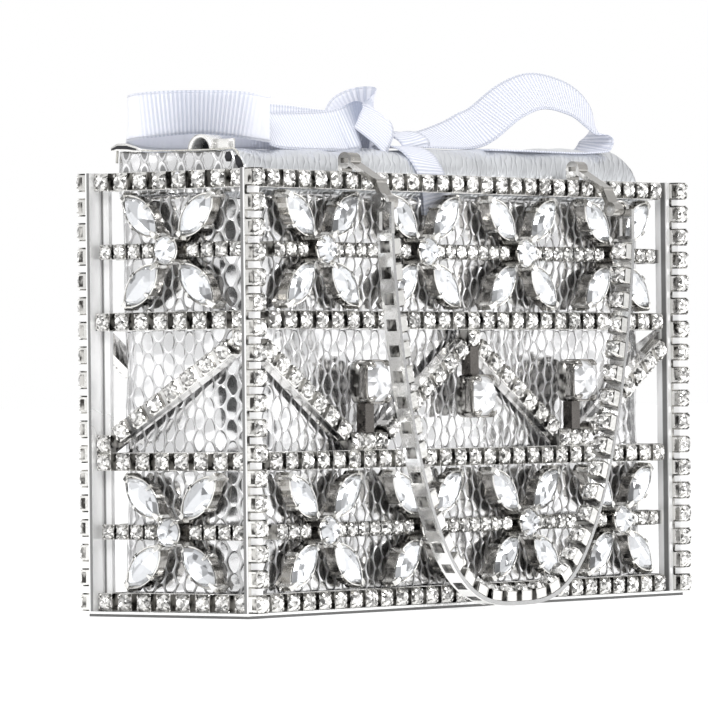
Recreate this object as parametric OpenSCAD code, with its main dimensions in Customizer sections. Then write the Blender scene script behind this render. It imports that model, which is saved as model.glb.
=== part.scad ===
// A minaudière: a soft pouch inside an open cage of flat bars, with rows of set stones on every bar,
// flowers of pointed stones, large stones on stems and a swinging handle, in millimetres.
// X runs along the width, the front faces -Y, Z points up, and Z = 0 is the underside of the base plate.

/* [Cage] */
// Width across the corner posts
cage_w = 177.2; // [160:0.2:200]
// Depth across the corner posts
cage_d = 48.6; // [47:0.2:60]
// Height from one main row of stones to the next
band_h = 33.3; // [32:0.1:40]
// Width of each flat bar
bar_w = 4.4; // [4.2:0.1:5.2]
// Thickness of each flat bar
bar_t = 1.2; // [0.8:0.1:1.6]
// Width of the narrow bar behind each row of flowers
thin_bar_w = 3.4; // [2.6:0.1:4]
// How far the long rails stand behind the face of the posts
rail_set = 2.3; // [1.4:0.1:2.8]
// Thickness of the base plate
base_t = 1.2; // [0.8:0.1:2.4]

/* [Stone rows] */
// Distance aimed at between neighbouring stones
stone_pitch = 6; // [5.4:0.1:8]
// Side of each square cup
cup_w = 4.2; // [3.4:0.1:4.4]
// Depth of each cup
cup_t = 2.7; // [1.8:0.1:3.2]
// Diameter of each round stone
stone_d = 4; // [3:0.1:4.1]
// Height of each stone above its cup
stone_h = 1; // [0.6:0.1:1.4]
// Height of the strip that joins a row of cups
link_w = 2; // [1:0.1:3]
// Thickness of the strip that joins a row of cups
link_t = 0.6; // [0.4:0.1:1]
// Distance from a post's edge to the middle of the first cup
row_end = 6.2; // [4:0.1:9]

/* [Small stone rows] */
// Distance between neighbouring small stones
small_pitch = 4.4; // [4:0.1:6]
// Side of each small cup
small_cup_w = 3.6; // [2.6:0.1:3.8]
// Depth of each small cup
small_cup_t = 2.4; // [1.6:0.1:3]
// Diameter of each small stone
small_stone_d = 3.4; // [2.4:0.1:3.5]
// Height of each small stone above its cup
small_stone_h = 0.9; // [0.5:0.1:1.3]

/* [Flowers] */
// Distance between the middles of two flowers on the long sides
flower_pitch = 40; // [38:0.5:44]
// Distance from a flower's middle to the first small stone
flower_start = 6.8; // [6.4:0.1:8]
// Gap from a petal's outer tip to the height of the next row's cups
petal_tip = 1.3; // [0.8:0.1:3]
// Width of each petal
petal_w = 7.2; // [5:0.1:7.6]
// Depth of each petal's cup
petal_t = 3.4; // [2.4:0.1:4]
// Wall of each petal's cup
petal_wall = 0.5; // [0.3:0.05:0.8]
// Depth to which a petal's stone is sunk in its cup
petal_sink = 1; // [0.5:0.1:1.6]
// Height of a petal's stone above its cup
petal_rise = 1.4; // [0.8:0.1:2]
// Distance from a flower's middle to the inner tip of a petal
petal_start = 4.5; // [4.3:0.1:5]
// Tilt of each petal from the row
petal_angle = 44; // [40:1:48]
// Width of the stay behind each petal
stay_w = 2; // [1:0.1:3]
// Diameter of the cup in a flower's middle
eye_d = 7; // [5:0.1:7.2]
// Depth of the cup in a flower's middle
eye_t = 4.2; // [3:0.1:5]
// Diameter of the stone in a flower's middle
eye_stone_d = 6.2; // [4:0.1:6.4]
// Height of the stone in a flower's middle
eye_stone_h = 1.8; // [1:0.1:2.4]

/* [Zigzag and large stones] */
// Distance between the stones in the foot of each V
foot_pitch = 4.7; // [4.6:0.1:6]
// Distance from a V's foot to the middle of its large stone
drop_reach = 14.2; // [12:0.1:15]
// Width of each large stone's cup
drop_w = 8.6; // [7:0.1:10]
// Height of each large stone's cup
drop_h = 10.6; // [9:0.1:12]
// Radius of the corners of each large stone's cup
drop_round = 2.8; // [2.4:0.1:3.4]
// Depth of each large stone's cup
drop_t = 5.3; // [4:0.1:6]
// Wall of each large stone's cup
drop_wall = 0.5; // [0.3:0.05:0.8]
// Depth to which a large stone is sunk in its cup
drop_sink = 2.4; // [1:0.1:3]
// Height of a large stone above its cup
drop_rise = 2.2; // [1:0.1:2.6]
// Width of each large stone's stem
stem_w = 3.4; // [2:0.1:3.4]
// Width of the bar that runs under the cups of each slanted leg
leg_w = 4; // [3:0.1:4]
// Thickness of that bar
leg_t = 1.9; // [1:0.1:2.2]

/* [Handle] */
// Width across the handle's arms
handle_w = 99.6; // [90:0.2:110]
// Length of the plate between the handle's band and each hinge pin
end_len = 7.5; // [7:0.1:10]
// Height of the band's lowest point
handle_foot = 0.5; // [0.4:0.1:4]
// How far the handle's middle plane stands in front of the posts
handle_out = 11.3; // [10.4:0.1:14]
// Width of the handle's band
handle_band_w = 4.4; // [4.2:0.1:5]
// Thickness of the handle's band
handle_band_t = 1; // [0.6:0.1:1.4]
// Distance aimed at between the handle's stones
handle_pitch = 6.3; // [5.8:0.1:7]
// How far the hinge pins lie below the top of the cage
pivot_drop = 7.7; // [6.5:0.1:8.5]
// How far the hinge pins stand behind the handle's middle plane
pivot_back = 1.6; // [1:0.1:2]
// Radius of each hinge pin
pin_r = 0.8; // [0.6:0.05:1]
// Clearance around each hinge pin
pin_clear = 0.05; // [0.02:0.01:0.1]
// Width of each hinge bracket
bracket_w = 4; // [3:0.1:5]
// Thickness of each hinge bracket
bracket_t = 1.2; // [0.8:0.1:1.4]

/* [Pouch] */
// Gap between the pouch and the left rails
pouch_gap_left = 1; // [0.6:0.1:4]
// Gap between the pouch and the right rails
pouch_gap_right = 5; // [0.6:0.1:8]
// Gap between the pouch and the long rails
pouch_gap = 0.9; // [0.8:0.05:2]
// Gap between the pouch and the base plate
pouch_lift = 0.3; // [0.2:0.05:1]
// How far the pouch's walls end below the top of the cage
pouch_drop = 5.5; // [3:0.1:12]
// Height of the pouch's rolled top above its walls
pouch_top_h = 12.5; // [12.2:0.1:15]
// Radius of the roll along the pouch's front edge
roll_r = 9; // [6:0.5:12]
// Radius along the pouch's back edge
back_r = 4; // [2:0.5:8]
// Radius of the pouch's upright corners
corner_r = 3; // [2:0.5:8]
// Thickness of the leather
leather_t = 1.2; // [0.8:0.1:2]
// Thickness of the lining
lining_t = 0.6; // [0.3:0.1:1]

/* [Ribbon] */
// Width of the ribbon
ribbon_w = 11; // [8:0.5:12]
// Thickness of the ribbon
ribbon_t = 0.4; // [0.3:0.05:0.4]
// Length of the knot along the cage
knot_len = 13; // [9:0.5:16]
// Radius of the knot
knot_r = 6; // [5.6:0.1:7]
// Reach of the left loop from the knot
left_reach = 70; // [55:1:72]
// Reach of the right loop from the knot
right_reach = 70.3; // [50:0.1:72]
// Rise of the right loop's arch
right_rise = 13.4; // [10:0.1:18]
// Length of the tail that hangs down the pouch's front
tail_drop = 8; // [4:0.5:30]

/* [Hidden] */

// Overrun of every cut past the face that it opens
over = 1;
// Smallest gap kept between two pieces that do not touch
gap = 0.1;
// Gap kept beside a moving piece
play = 0.2;
// Number of bands of the cage
bands = 3;
// Bands that carry flowers
flower_bands = [0, bands - 1];
// Number of flowers along each long side
flowers_long = 4;
// Sides of a round stone, of a round cup and of a large curve
round_n = 24;
cup_n = 32;
curve_n = 96;
// Width of a stone's flat table as a share of its diameter
table_share = 0.55;
// Heights at which a stone's girdle, first and second steps stand, and their widths, as shares
step_height_share = 0.5;
step_width_share = 0.72;

metal = "gainsboro";
dark_metal = "dimgray";
crystal = "white";
leather = "silver";
cloth = "lavender";

post_x = cage_w/2 - bar_w/2;
post_in = cage_w/2 - bar_w;
rail_x = post_in - bar_t;
rail_y = cage_d/2 - rail_set;
rail_in = rail_y - bar_t;
post_back = cage_d/2 - bar_t;
cage_top = base_t + bar_w + bands*band_h;
row_span = 2*(post_in - row_end);
side_span = 2*(post_back - gap) - cup_w;

// Height of the middle of main row i, and of the flower row in band i
function row_z(i) = base_t + bar_w/2 + i*band_h;
function mid_z(i) = row_z(i) + band_h/2;
// A list from its end to its start
function reversed(p) = [for (i = [len(p) - 1 : -1 : 0]) p[i]];
// Places spread evenly over a span, at about the pitch that is asked for
function steps(span, pitch) = max(1, round(span/pitch));
function spread(span, pitch) = [for (i = [0 : steps(span, pitch)]) span*(i/steps(span, pitch) - 1/2)];

// The four faces of the cage: what is drawn with its row along x, its height along y and its
// outside along z is stood on the face at distance d from the middle.
module on_front(d) {
    translate([0, -d, 0])
        rotate([90, 0, 0])
            children();
}

module on_back(d) {
    translate([0, d, 0])
        rotate([90, 0, 180])
            children();
}

module on_left(d) {
    translate([-d, 0, 0])
        rotate([90, 0, -90])
            children();
}

module on_right(d) {
    translate([d, 0, 0])
        rotate([90, 0, 90])
            children();
}

// A flat bar of length len, centred, with its back on the plane
module bar(len, w, t) {
    translate([-len/2, -w/2, 0])
        cube([len, w, t]);
}

// A flat bar from point a to point b in the plane
module bar_between(a, b, w, t) {
    d = b - a;
    translate([a.x, a.y, 0])
        rotate([0, 0, atan2(d.y, d.x)])
            translate([0, -w/2, 0])
                cube([norm(d), w, t]);
}

// Cage frame

module base_plate() {
    color(dark_metal)
        translate([-cage_w/2, -cage_d/2, 0])
            cube([cage_w, cage_d, base_t]);
}

// An angle: a face bar with a side flange that the rails meet
module post() {
    color(metal)
        translate([0, 0, base_t]) {
            translate([post_in, -cage_d/2, 0])
                cube([bar_w, bar_t, cage_top - base_t]);
            translate([rail_x, -cage_d/2, 0])
                cube([bar_t, rail_set + bar_t, cage_top - base_t]);
        }
}

module post_front_right() {
    post();
}

module post_front_left() {
    mirror([1, 0, 0])
        post();
}

module post_back_right() {
    mirror([0, 1, 0])
        post();
}

module post_back_left() {
    mirror([1, 0, 0])
        mirror([0, 1, 0])
            post();
}

module long_rail(i) {
    color(metal)
        on_front(rail_in)
            translate([0, row_z(i), 0])
                bar(2*rail_x, bar_w, bar_t);
}

module back_rail(i) {
    mirror([0, 1, 0])
        long_rail(i);
}

module left_rails() {
    color(metal)
        on_left(rail_x)
            for (i = [0 : bands])
                translate([0, row_z(i), 0])
                    bar(2*rail_in, bar_w, bar_t);
}

module right_rails() {
    mirror([1, 0, 0])
        left_rails();
}

module front_flower_rails() {
    color(metal)
        on_front(rail_in)
            for (i = flower_bands)
                translate([0, mid_z(i), 0])
                    bar(2*rail_x, thin_bar_w, bar_t);
}

module back_flower_rails() {
    mirror([0, 1, 0])
        front_flower_rails();
}

module side_flower_rails() {
    for (s = [0, 1])
        mirror([s, 0, 0])
            color(metal)
                on_left(rail_x)
                    for (i = flower_bands)
                        translate([0, mid_z(i), 0])
                            bar(2*rail_in, thin_bar_w, bar_t);
}

// Zigzag of the middle band

zig_up = row_z(2) - cup_w - gap;
zig_low = row_z(1) + cup_w + gap;
zig_run = post_in/2;
zig_foot = row_z(1) + bar_w/2;
zig_head = row_z(2) - bar_w/2;
// Corners of the zigzag's middle line, from the middle of the face outwards
zig_line = [[0, zig_up], [zig_run - foot_pitch, zig_low], [zig_run + foot_pitch, zig_low], [post_in, zig_up]];

// The same line from end to end, and how far its outline stands from each corner for a unit of half-width
zig_whole = concat([for (i = [3 : -1 : 1]) [-zig_line[i].x, zig_line[i].y]], zig_line);
function edge_normal(p, i) =
    let (k = max(0, min(i, len(p) - 2)), d = p[k + 1] - p[k])
    [-d.y, d.x]/norm(d);
function mitre(p, i) =
    let (m = edge_normal(p, i - 1), n = edge_normal(p, i))
    (m + n)/(1 + m*n);
function band_side(p, h) = [for (i = [0 : len(p) - 1]) p[i] + mitre(p, i)*h];

module zigzag_bar() {
    intersection() {
        translate([-rail_x, zig_foot, 0])
            cube([2*rail_x, zig_head - zig_foot, bar_t]);
        linear_extrude(bar_t)
            polygon(concat(band_side(zig_whole, bar_w/2), reversed(band_side(zig_whole, -bar_w/2))));
    }
}

module front_zigzag() {
    color(metal)
        on_front(rail_in)
            zigzag_bar();
}

module back_zigzag() {
    color(metal)
        on_back(rail_in)
            zigzag_bar();
}

diag_low = [-side_span/2, zig_low];
diag_up = [side_span/2, zig_up];

module diagonal_bar() {
    intersection() {
        translate([-rail_in, zig_foot, 0])
            cube([2*rail_in, zig_head - zig_foot, bar_t]);
        bar_between(2*diag_low - diag_up, 2*diag_up - diag_low, bar_w, bar_t);
    }
}

module side_diagonals() {
    for (s = [0, 1])
        mirror([s, 0, 0])
            color(metal)
                on_left(rail_x)
                    diagonal_bar();
}

// Rows of stones. A place is [x, height, turn].

// Places along a row at height z, and along a line between two places
function row_places(span, pitch, z) = [for (x = spread(span, pitch)) [x, z, 0]];
function line_places(a, b) =
    let (d = b - a, n = steps(norm(d), stone_pitch - gap*4))
    [for (i = [1 : n - 1]) [a.x + d.x*i/n, a.y + d.y*i/n, atan2(d.y, d.x)]];
// Places of the small stones between a flower's middle at x and the last main stone at x = end
function small_count(len) = floor((len - flower_start)/small_pitch) + 1;
function small_run(x, len, z) = [for (i = [0 : small_count(len) - 1]) [x + flower_start + i*small_pitch, z, 0]];
function flipped(p) = [for (q = p) [-q.x, q.y, -q[2]]];

// One cup, and one stone seated on it
module cup(w, t) {
    translate([-w/2, -w/2, 0])
        cube([w, w, t]);
}

module stone(d, h) {
    cylinder(d1 = d, d2 = d*table_share, h = h, $fn = round_n);
}

module at(places) {
    for (p = places)
        translate([p.x, p.y, 0])
            rotate([0, 0, p[2]])
                children();
}

// Cups joined by a strip that lies on the bar, from the first place to the last
module cup_chain(places, w, t, strip_w = link_w, strip_t = link_t) {
    a = places[0];
    b = places[len(places) - 1];
    at(places)
        cup(w, t);
    if (len(places) > 1)
        bar_between([a.x, a.y], [b.x, b.y], strip_w, strip_t);
}

flower_end = row_span/2;
flower_xs = [for (i = [0 : flowers_long - 1]) (i - (flowers_long - 1)/2)*flower_pitch];
between_span = flower_pitch - 2*flower_start;
between_xs = [for (i = [1 : flowers_long - 1]) (i - flowers_long/2)*flower_pitch];
last_flower = flower_xs[flowers_long - 1];

// The runs of small stones of one flower row on a long side, and on a short side
function long_runs(z) = concat(
    [for (x = between_xs) [for (q = row_places(between_span, small_pitch, z)) [q.x + x, q.y, 0]]],
    [small_run(last_flower, flower_end - last_flower, z)],
    [flipped(small_run(last_flower, flower_end - last_flower, z))]);
function side_runs(z) = [small_run(0, side_span/2, z), flipped(small_run(0, side_span/2, z))];

main_long = [for (i = [0 : bands]) row_places(row_span, stone_pitch, row_z(i))];
main_side = [for (i = [0 : bands]) row_places(side_span, stone_pitch, row_z(i))];
small_long = [for (i = flower_bands) each long_runs(mid_z(i))];
small_side = [for (i = flower_bands) each side_runs(mid_z(i))];

module long_row_cups() {
    for (run = main_long)
        cup_chain(run, cup_w, cup_t);
    for (run = small_long)
        cup_chain(run, small_cup_w, small_cup_t);
}

module long_row_stones() {
    for (run = main_long)
        translate([0, 0, cup_t])
            at(run)
                stone(stone_d, stone_h);
    for (run = small_long)
        translate([0, 0, small_cup_t])
            at(run)
                stone(small_stone_d, small_stone_h);
}

module side_row_cups_flat() {
    for (run = main_side)
        cup_chain(run, cup_w, cup_t);
    for (run = small_side)
        cup_chain(run, small_cup_w, small_cup_t);
}

module side_row_stones_flat() {
    for (run = main_side)
        translate([0, 0, cup_t])
            at(run)
                stone(stone_d, stone_h);
    for (run = small_side)
        translate([0, 0, small_cup_t])
            at(run)
                stone(small_stone_d, small_stone_h);
}

module front_row_cups() {
    color(metal)
        on_front(rail_y)
            long_row_cups();
}

module back_row_cups() {
    color(metal)
        on_back(rail_y)
            long_row_cups();
}

module side_row_cups() {
    color(metal)
        for (s = [0, 1])
            mirror([s, 0, 0])
                on_left(post_in)
                    side_row_cups_flat();
}

module front_row_stones() {
    color(crystal)
        on_front(rail_y)
            long_row_stones();
}

module back_row_stones() {
    color(crystal)
        on_back(rail_y)
            long_row_stones();
}

module side_row_stones() {
    color(crystal)
        for (s = [0, 1])
            mirror([s, 0, 0])
                on_left(post_in)
                    side_row_stones_flat();
}

post_places = [for (z = spread(bands*band_h, stone_pitch)) [post_x, z + (row_z(0) + row_z(bands))/2, 0]];

module each_post_row() {
    for (s = [0, 1])
        mirror([s, 0, 0]) {
            on_front(cage_d/2)
                children();
            on_back(cage_d/2)
                mirror([1, 0, 0])
                    children();
        }
}

module post_cups() {
    color(metal)
        each_post_row()
            cup_chain(post_places, cup_w, cup_t);
}

module post_stones() {
    color(crystal)
        each_post_row()
            translate([0, 0, cup_t])
                at(post_places)
                    stone(stone_d, stone_h);
}

// Stones of the zigzag: a row down each leg, three in the foot of each V and one at each peak
inner_leg = line_places(zig_line[0], zig_line[1]);
outer_leg = line_places(zig_line[2], zig_line[3]);
foot_places = [for (k = [-1 : 1]) [zig_run + k*foot_pitch, zig_low, 0]];
peak_place = [[0, zig_up, 0]];

module zigzag_chains() {
    cup_chain(peak_place, cup_w, cup_t);
    for (s = [0, 1])
        mirror([s, 0, 0]) {
            cup_chain(inner_leg, cup_w, cup_t, leg_w, leg_t);
            cup_chain(outer_leg, cup_w, cup_t, leg_w, leg_t);
            cup_chain(foot_places, cup_w, cup_t);
        }
}

module zigzag_stone_set() {
    translate([0, 0, cup_t]) {
        at(peak_place)
            stone(stone_d, stone_h);
        for (s = [0, 1])
            mirror([s, 0, 0])
                at(concat(inner_leg, outer_leg, foot_places))
                    stone(stone_d, stone_h);
    }
}

module zigzag_cups() {
    color(metal) {
        on_front(rail_y)
            zigzag_chains();
        on_back(rail_y)
            zigzag_chains();
    }
}

module zigzag_stones() {
    color(crystal) {
        on_front(rail_y)
            zigzag_stone_set();
        on_back(rail_y)
            zigzag_stone_set();
    }
}

diag_leg = line_places(diag_low, diag_up);
diag_ends = [[diag_low.x, diag_low.y, 0], [diag_up.x, diag_up.y, 0]];

module diagonal_cups() {
    color(metal)
        for (s = [0, 1])
            mirror([s, 0, 0])
                on_left(post_in) {
                    cup_chain(diag_leg, cup_w, cup_t, leg_w, leg_t);
                    at(diag_ends)
                        cup(cup_w, cup_t);
                }
}

module diagonal_stones() {
    color(crystal)
        for (s = [0, 1])
            mirror([s, 0, 0])
                on_left(post_in)
                    translate([0, 0, cup_t])
                        at(concat(diag_leg, diag_ends))
                            stone(stone_d, stone_h);
}

// Flowers

petal_len = (band_h/2 - cup_w/2 - petal_tip)/sin(petal_angle) - petal_start;

// A pointed oval of length l and width w: the overlap of two circles
module pointed(l, w, t) {
    r = (l*l + w*w)/(4*w);
    intersection() {
        translate([0, r - w/2, 0])
            cylinder(r = r, h = t, $fn = curve_n);
        translate([0, w/2 - r, 0])
            cylinder(r = r, h = t, $fn = curve_n);
    }
}

module petal_cup() {
    difference() {
        pointed(petal_len, petal_w, petal_t);
        translate([0, 0, petal_t - petal_sink])
            pointed(petal_len - 4*petal_wall, petal_w - 2*petal_wall, petal_sink + over);
    }
}

module petal_stone() {
    l = petal_len - 4*petal_wall;
    w = petal_w - 2*petal_wall;
    translate([0, 0, petal_t - petal_sink]) {
        pointed(l, w, petal_sink + petal_rise*step_height_share);
        pointed(l*step_width_share, w*step_width_share, petal_sink + petal_rise);
    }
}

// The four petals around a flower's middle
module petals() {
    for (a = [petal_angle, -petal_angle, 180 - petal_angle, 180 + petal_angle])
        rotate([0, 0, a])
            translate([petal_start + petal_len/2, 0, 0])
                children();
}

module long_flowers() {
    for (i = flower_bands)
        for (x = flower_xs)
            translate([x, mid_z(i), 0])
                children();
}

module side_flowers() {
    for (i = flower_bands)
        translate([0, mid_z(i), 0])
            children();
}

// All flowers of the cage, with their backs on the faces of the rails or lower by d
module all_flowers(d) {
    on_front(rail_y - d)
        long_flowers()
            children();
    on_back(rail_y - d)
        long_flowers()
            children();
    on_left(post_in - d)
        side_flowers()
            children();
    on_right(post_in - d)
        side_flowers()
            children();
}

module petal_stays() {
    reach = band_h/2 - bar_w/2;
    color(metal)
        all_flowers(bar_t)
            for (s = [-1, 1])
                intersection() {
                    translate([-petal_len - petal_start, s > 0 ? thin_bar_w/2 : -reach, 0])
                        cube([2*(petal_len + petal_start), reach - thin_bar_w/2, bar_t]);
                    union()
                        for (a = [petal_angle, 180 - petal_angle])
                            rotate([0, 0, s*a])
                                translate([0, -stay_w/2, 0])
                                    cube([petal_len + petal_start, stay_w, bar_t]);
                }
}

module petal_cups() {
    color(metal)
        all_flowers(0)
            petals()
                petal_cup();
}

module petal_stones() {
    color(crystal)
        all_flowers(0)
            petals()
                petal_stone();
}

module flower_eye_cups() {
    color(metal)
        all_flowers(0)
            cylinder(d = eye_d, h = eye_t, $fn = cup_n);
}

module flower_eye_stones() {
    color(crystal)
        all_flowers(0)
            translate([0, 0, eye_t])
                cylinder(d1 = eye_stone_d, d2 = eye_stone_d*table_share, h = eye_stone_h, $fn = cup_n);
}

// Large stones: one above the foot of each V, and one below the middle peak
drop_places = [[0, zig_up - drop_reach, 1], [zig_run, zig_low + drop_reach, -1],
    [-zig_run, zig_low + drop_reach, -1]];

module all_drops() {
    for (p = drop_places) {
        on_front(rail_y)
            translate([p.x, p.y, 0])
                mirror([0, p[2] < 0 ? 1 : 0, 0])
                    children();
        on_back(rail_y)
            translate([p.x, p.y, 0])
                mirror([0, p[2] < 0 ? 1 : 0, 0])
                    children();
    }
}

// A block with the outline of a large cup, inset by d
module drop_block(d, h) {
    w = drop_w - 2*d;
    l = drop_h - 2*d;
    r = drop_round - d;
    linear_extrude(h)
        union() {
            square([w - 2*r, l], center = true);
            square([w, l - 2*r], center = true);
            for (sx = [-1, 1], sy = [-1, 1])
                translate([sx*(w/2 - r), sy*(l/2 - r)])
                    circle(r = r, $fn = cup_n);
        }
}

module drop_cups() {
    color(metal)
        all_drops()
            difference() {
                drop_block(0, drop_t);
                translate([0, 0, drop_t - drop_sink])
                    drop_block(drop_wall, drop_sink + over);
            }
}

module drop_stones() {
    inset = drop_wall + (drop_w/2 - drop_wall)*(1 - step_width_share);
    color(crystal)
        all_drops()
            translate([0, 0, drop_t - drop_sink]) {
                drop_block(drop_wall, drop_sink + drop_rise*step_height_share);
                drop_block(inset, drop_sink + drop_rise);
            }
}

module drop_stems() {
    color(dark_metal)
        all_drops()
            difference() {
                translate([-stem_w/2, 0, 0])
                    cube([stem_w, drop_reach - cup_w/2, cup_t]);
                translate([0, 0, -over])
                    drop_block(0, cup_t + 2*over);
            }
}

// Handle

arm_x = handle_w/2;
handle_y = cage_d/2 + handle_out;
pivot_z = cage_top - pivot_drop;
handle_top = pivot_z - end_len;
pivot_y = handle_y - pivot_back;
plate_t = handle_band_t + play;
bracket_in = arm_x - plate_t - play - bracket_w;
// Powers of the handle's oval, across and down
oval_across = 3;
oval_down = 1.38;
// Number of straight pieces along one half of the oval
oval_n = 40;

// A point of the oval whose half-width and depth are w and d, for t from 0 at the arm to 90 at the foot
function oval(w, d, t) = [w*pow(max(cos(t), 0), 2/oval_across), handle_top - d*pow(sin(t), 2/oval_down)];
function half_oval(w, d) = [for (i = [0 : oval_n]) oval(w, d, 90*i/oval_n)];
function whole_oval(w, d) =
    let (h = half_oval(w, d))
    concat([for (q = h) [-q.x, q.y]], [for (i = [oval_n - 1 : -1 : 0]) h[i]]);
band_depth = handle_top - handle_foot;
outer_line = whole_oval(arm_x, band_depth);
inner_line = whole_oval(arm_x - handle_band_t, band_depth - handle_band_t);

// Distance along the inner line up to point i, and the point at distance s
inner_sums = [for (i = 0, s = 0; i < len(inner_line); i = i + 1,
    s = s + (i < len(inner_line) ? norm(inner_line[i] - inner_line[i - 1]) : 0)) s];
inner_len = inner_sums[len(inner_sums) - 1];
function segment_at(s) = max([for (i = [0 : len(inner_sums) - 2]) inner_sums[i] <= s ? i : 0]);
function point_at(s) =
    let (k = segment_at(s), f = (s - inner_sums[k])/(inner_sums[k + 1] - inner_sums[k]))
    inner_line[k]*(1 - f) + inner_line[k + 1]*f;
handle_n = steps(inner_len, handle_pitch);
// Each cup's back touches the inner line at both of its ends
function chord_place(s) =
    let (a = point_at(s - cup_w/2), b = point_at(s + cup_w/2), m = (a + b)/2, d = b - a)
    [m.x, m.y, atan2(d.y, d.x)];
handle_places = [for (i = [0 : handle_n - 1]) chord_place(inner_len*(i + 1/2)/handle_n)];
window_share = 0.68;

// Stands what is drawn in the handle's plane upright, centred on the plane at handle_y
module in_handle_plane(w) {
    translate([0, -handle_y + w/2, 0])
        rotate([90, 0, 0])
            children();
}

module handle_band() {
    win = cup_w*window_share;
    color(metal)
        in_handle_plane(handle_band_w)
            difference() {
                linear_extrude(handle_band_w)
                    polygon(concat(outer_line, reversed(inner_line)));
                at(handle_places)
                    translate([-win/2, -handle_band_t - over, (handle_band_w - win)/2])
                        cube([win, handle_band_t + 2*over, win]);
            }
}

module handle_cups() {
    color(metal)
        in_handle_plane(cup_w)
            at(handle_places)
                translate([-cup_w/2, gap, 0])
                    cube([cup_w, cup_t, cup_w]);
}

module handle_stones() {
    color(crystal)
        in_handle_plane(0)
            at(handle_places)
                translate([0, gap + cup_t, 0])
                    rotate([-90, 0, 0])
                        stone(stone_d, stone_h);
}

// End plate of each arm: a slotted plate with an eye for the hinge pin
eye_r = 2.2;
slot_w = 3;
slot_h = 4.4;
slot_z = 0.8;
module handle_ends() {
    y = -handle_y - handle_band_w/2;
    color(metal)
        for (s = [0, 1])
            mirror([s, 0, 0])
                translate([arm_x - plate_t, 0, 0])
                    difference() {
                        union() {
                            translate([0, y, handle_top])
                                cube([plate_t, handle_band_w, pivot_z - handle_top]);
                            translate([0, -pivot_y, pivot_z])
                                rotate([0, 90, 0])
                                    cylinder(r = eye_r, h = plate_t, $fn = cup_n);
                        }
                        translate([-over, -pivot_y, pivot_z])
                            rotate([0, 90, 0])
                                cylinder(r = pin_r + pin_clear, h = plate_t + 2*over, $fn = cup_n);
                        translate([-over, -handle_y - slot_w/2, handle_top + slot_z])
                            cube([plate_t + 2*over, slot_w, slot_h]);
                    }
}

// Bracket: a loop with a foot on the top rail, a strip over the stones and a knuckle for the pin
loop_r = 2;
loop_slot = 2.2;
loop_z = cage_top + loop_r + bracket_t/2;
loop_y = rail_in + loop_r - gap;
bend_in = 2.4;
bend_up = 5;
bend_y = pivot_y - bend_in;
bend_z = pivot_z + bend_up;
bend_r = bracket_t/2 + play;
knuckle_r = 1.8;

module strip_yz(a, b) {
    d = b - a;
    translate([0, a.x, a.y])
        rotate([atan2(d.y, d.x), 0, 0])
            translate([0, 0, -bracket_t/2])
                cube([bracket_w, norm(d), bracket_t]);
}

module disc_yz(p, r) {
    translate([0, p.x, p.y])
        rotate([0, 90, 0])
            cylinder(r = r, h = bracket_w, $fn = cup_n);
}

module bracket() {
    a = [-loop_y, loop_z];
    b = [-bend_y, bend_z];
    c = [-pivot_y, pivot_z];
    difference() {
        union() {
            disc_yz(a, loop_r);
            strip_yz(a, b);
            disc_yz(b, bend_r);
            strip_yz(b, c);
            disc_yz(c, knuckle_r);
            translate([0, -rail_y, cage_top])
                cube([bracket_w, bar_t, loop_z - cage_top]);
        }
        translate([-over, -loop_y - loop_slot/2, loop_z - bracket_t/2])
            cube([bracket_w + 2*over, loop_slot, bracket_t]);
        translate([-over, -pivot_y, pivot_z])
            rotate([0, 90, 0])
                cylinder(r = pin_r, h = bracket_w + 2*over, $fn = cup_n);
    }
}

module hinge_brackets() {
    color(metal)
        for (s = [0, 1])
            mirror([s, 0, 0])
                translate([bracket_in, 0, 0])
                    bracket();
}

// A pin fixed in the knuckle, with a head outside the arm
pin_head_r = 1.5;
pin_head_t = 0.5;
module hinge_pins() {
    len = bracket_w + play + plate_t + play;
    color(dark_metal)
        for (s = [0, 1])
            mirror([s, 0, 0])
                translate([bracket_in, -pivot_y, pivot_z])
                    rotate([0, 90, 0]) {
                        cylinder(r = pin_r, h = len, $fn = cup_n);
                        translate([0, 0, len])
                            cylinder(r = pin_head_r, h = pin_head_t, $fn = cup_n);
                    }
}

// Pouch

pouch_y = rail_in - pouch_gap;
pouch_z = base_t + pouch_lift;
pouch_rim = cage_top - pouch_drop;
pouch_len = 2*rail_x - pouch_gap_left - pouch_gap_right;
pouch_off = (pouch_gap_left - pouch_gap_right)/2;
pouch_crest = pouch_rim + pouch_top_h;

// A box with round upright corners, inset by d from the pouch's outside
module rounded_box(d, z0, z1) {
    r = corner_r - d;
    x = pouch_len/2 - d;
    y = pouch_y - d;
    translate([pouch_off, 0, z0])
        linear_extrude(z1 - z0)
            union() {
                square([2*x - 2*r, 2*y], center = true);
                square([2*x, 2*y - 2*r], center = true);
                for (sx = [-1, 1], sy = [-1, 1])
                    translate([sx*(x - r), sy*(y - r)])
                        circle(r = r, $fn = cup_n);
            }
}

module pouch_shell() {
    color(leather)
        difference() {
            rounded_box(0, pouch_z, pouch_rim);
            rounded_box(leather_t, pouch_z + leather_t, pouch_rim + over);
        }
}

module pouch_lining() {
    color(cloth)
        difference() {
            rounded_box(leather_t, pouch_z + leather_t, pouch_rim);
            rounded_box(leather_t + lining_t, pouch_z + leather_t + lining_t, pouch_rim + over);
        }
}

// Outline of the rolled top across the pouch, inset by d
module top_outline(d) {
    y = pouch_y - d;
    top = pouch_top_h - d;
    difference() {
        translate([-y, d > 0 ? -over : 0])
            square([2*y, top + (d > 0 ? over : 0)]);
        translate([-y, top])
            corner_cut(roll_r - d);
        translate([y, top])
            mirror([1, 0])
                corner_cut(back_r - d);
    }
}

// What a round of radius r leaves outside it at an upper left corner
module corner_cut(r) {
    difference() {
        translate([-over, -r])
            square([r + over, r + over]);
        translate([r, -r])
            circle(r = r, $fn = curve_n);
    }
}

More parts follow.
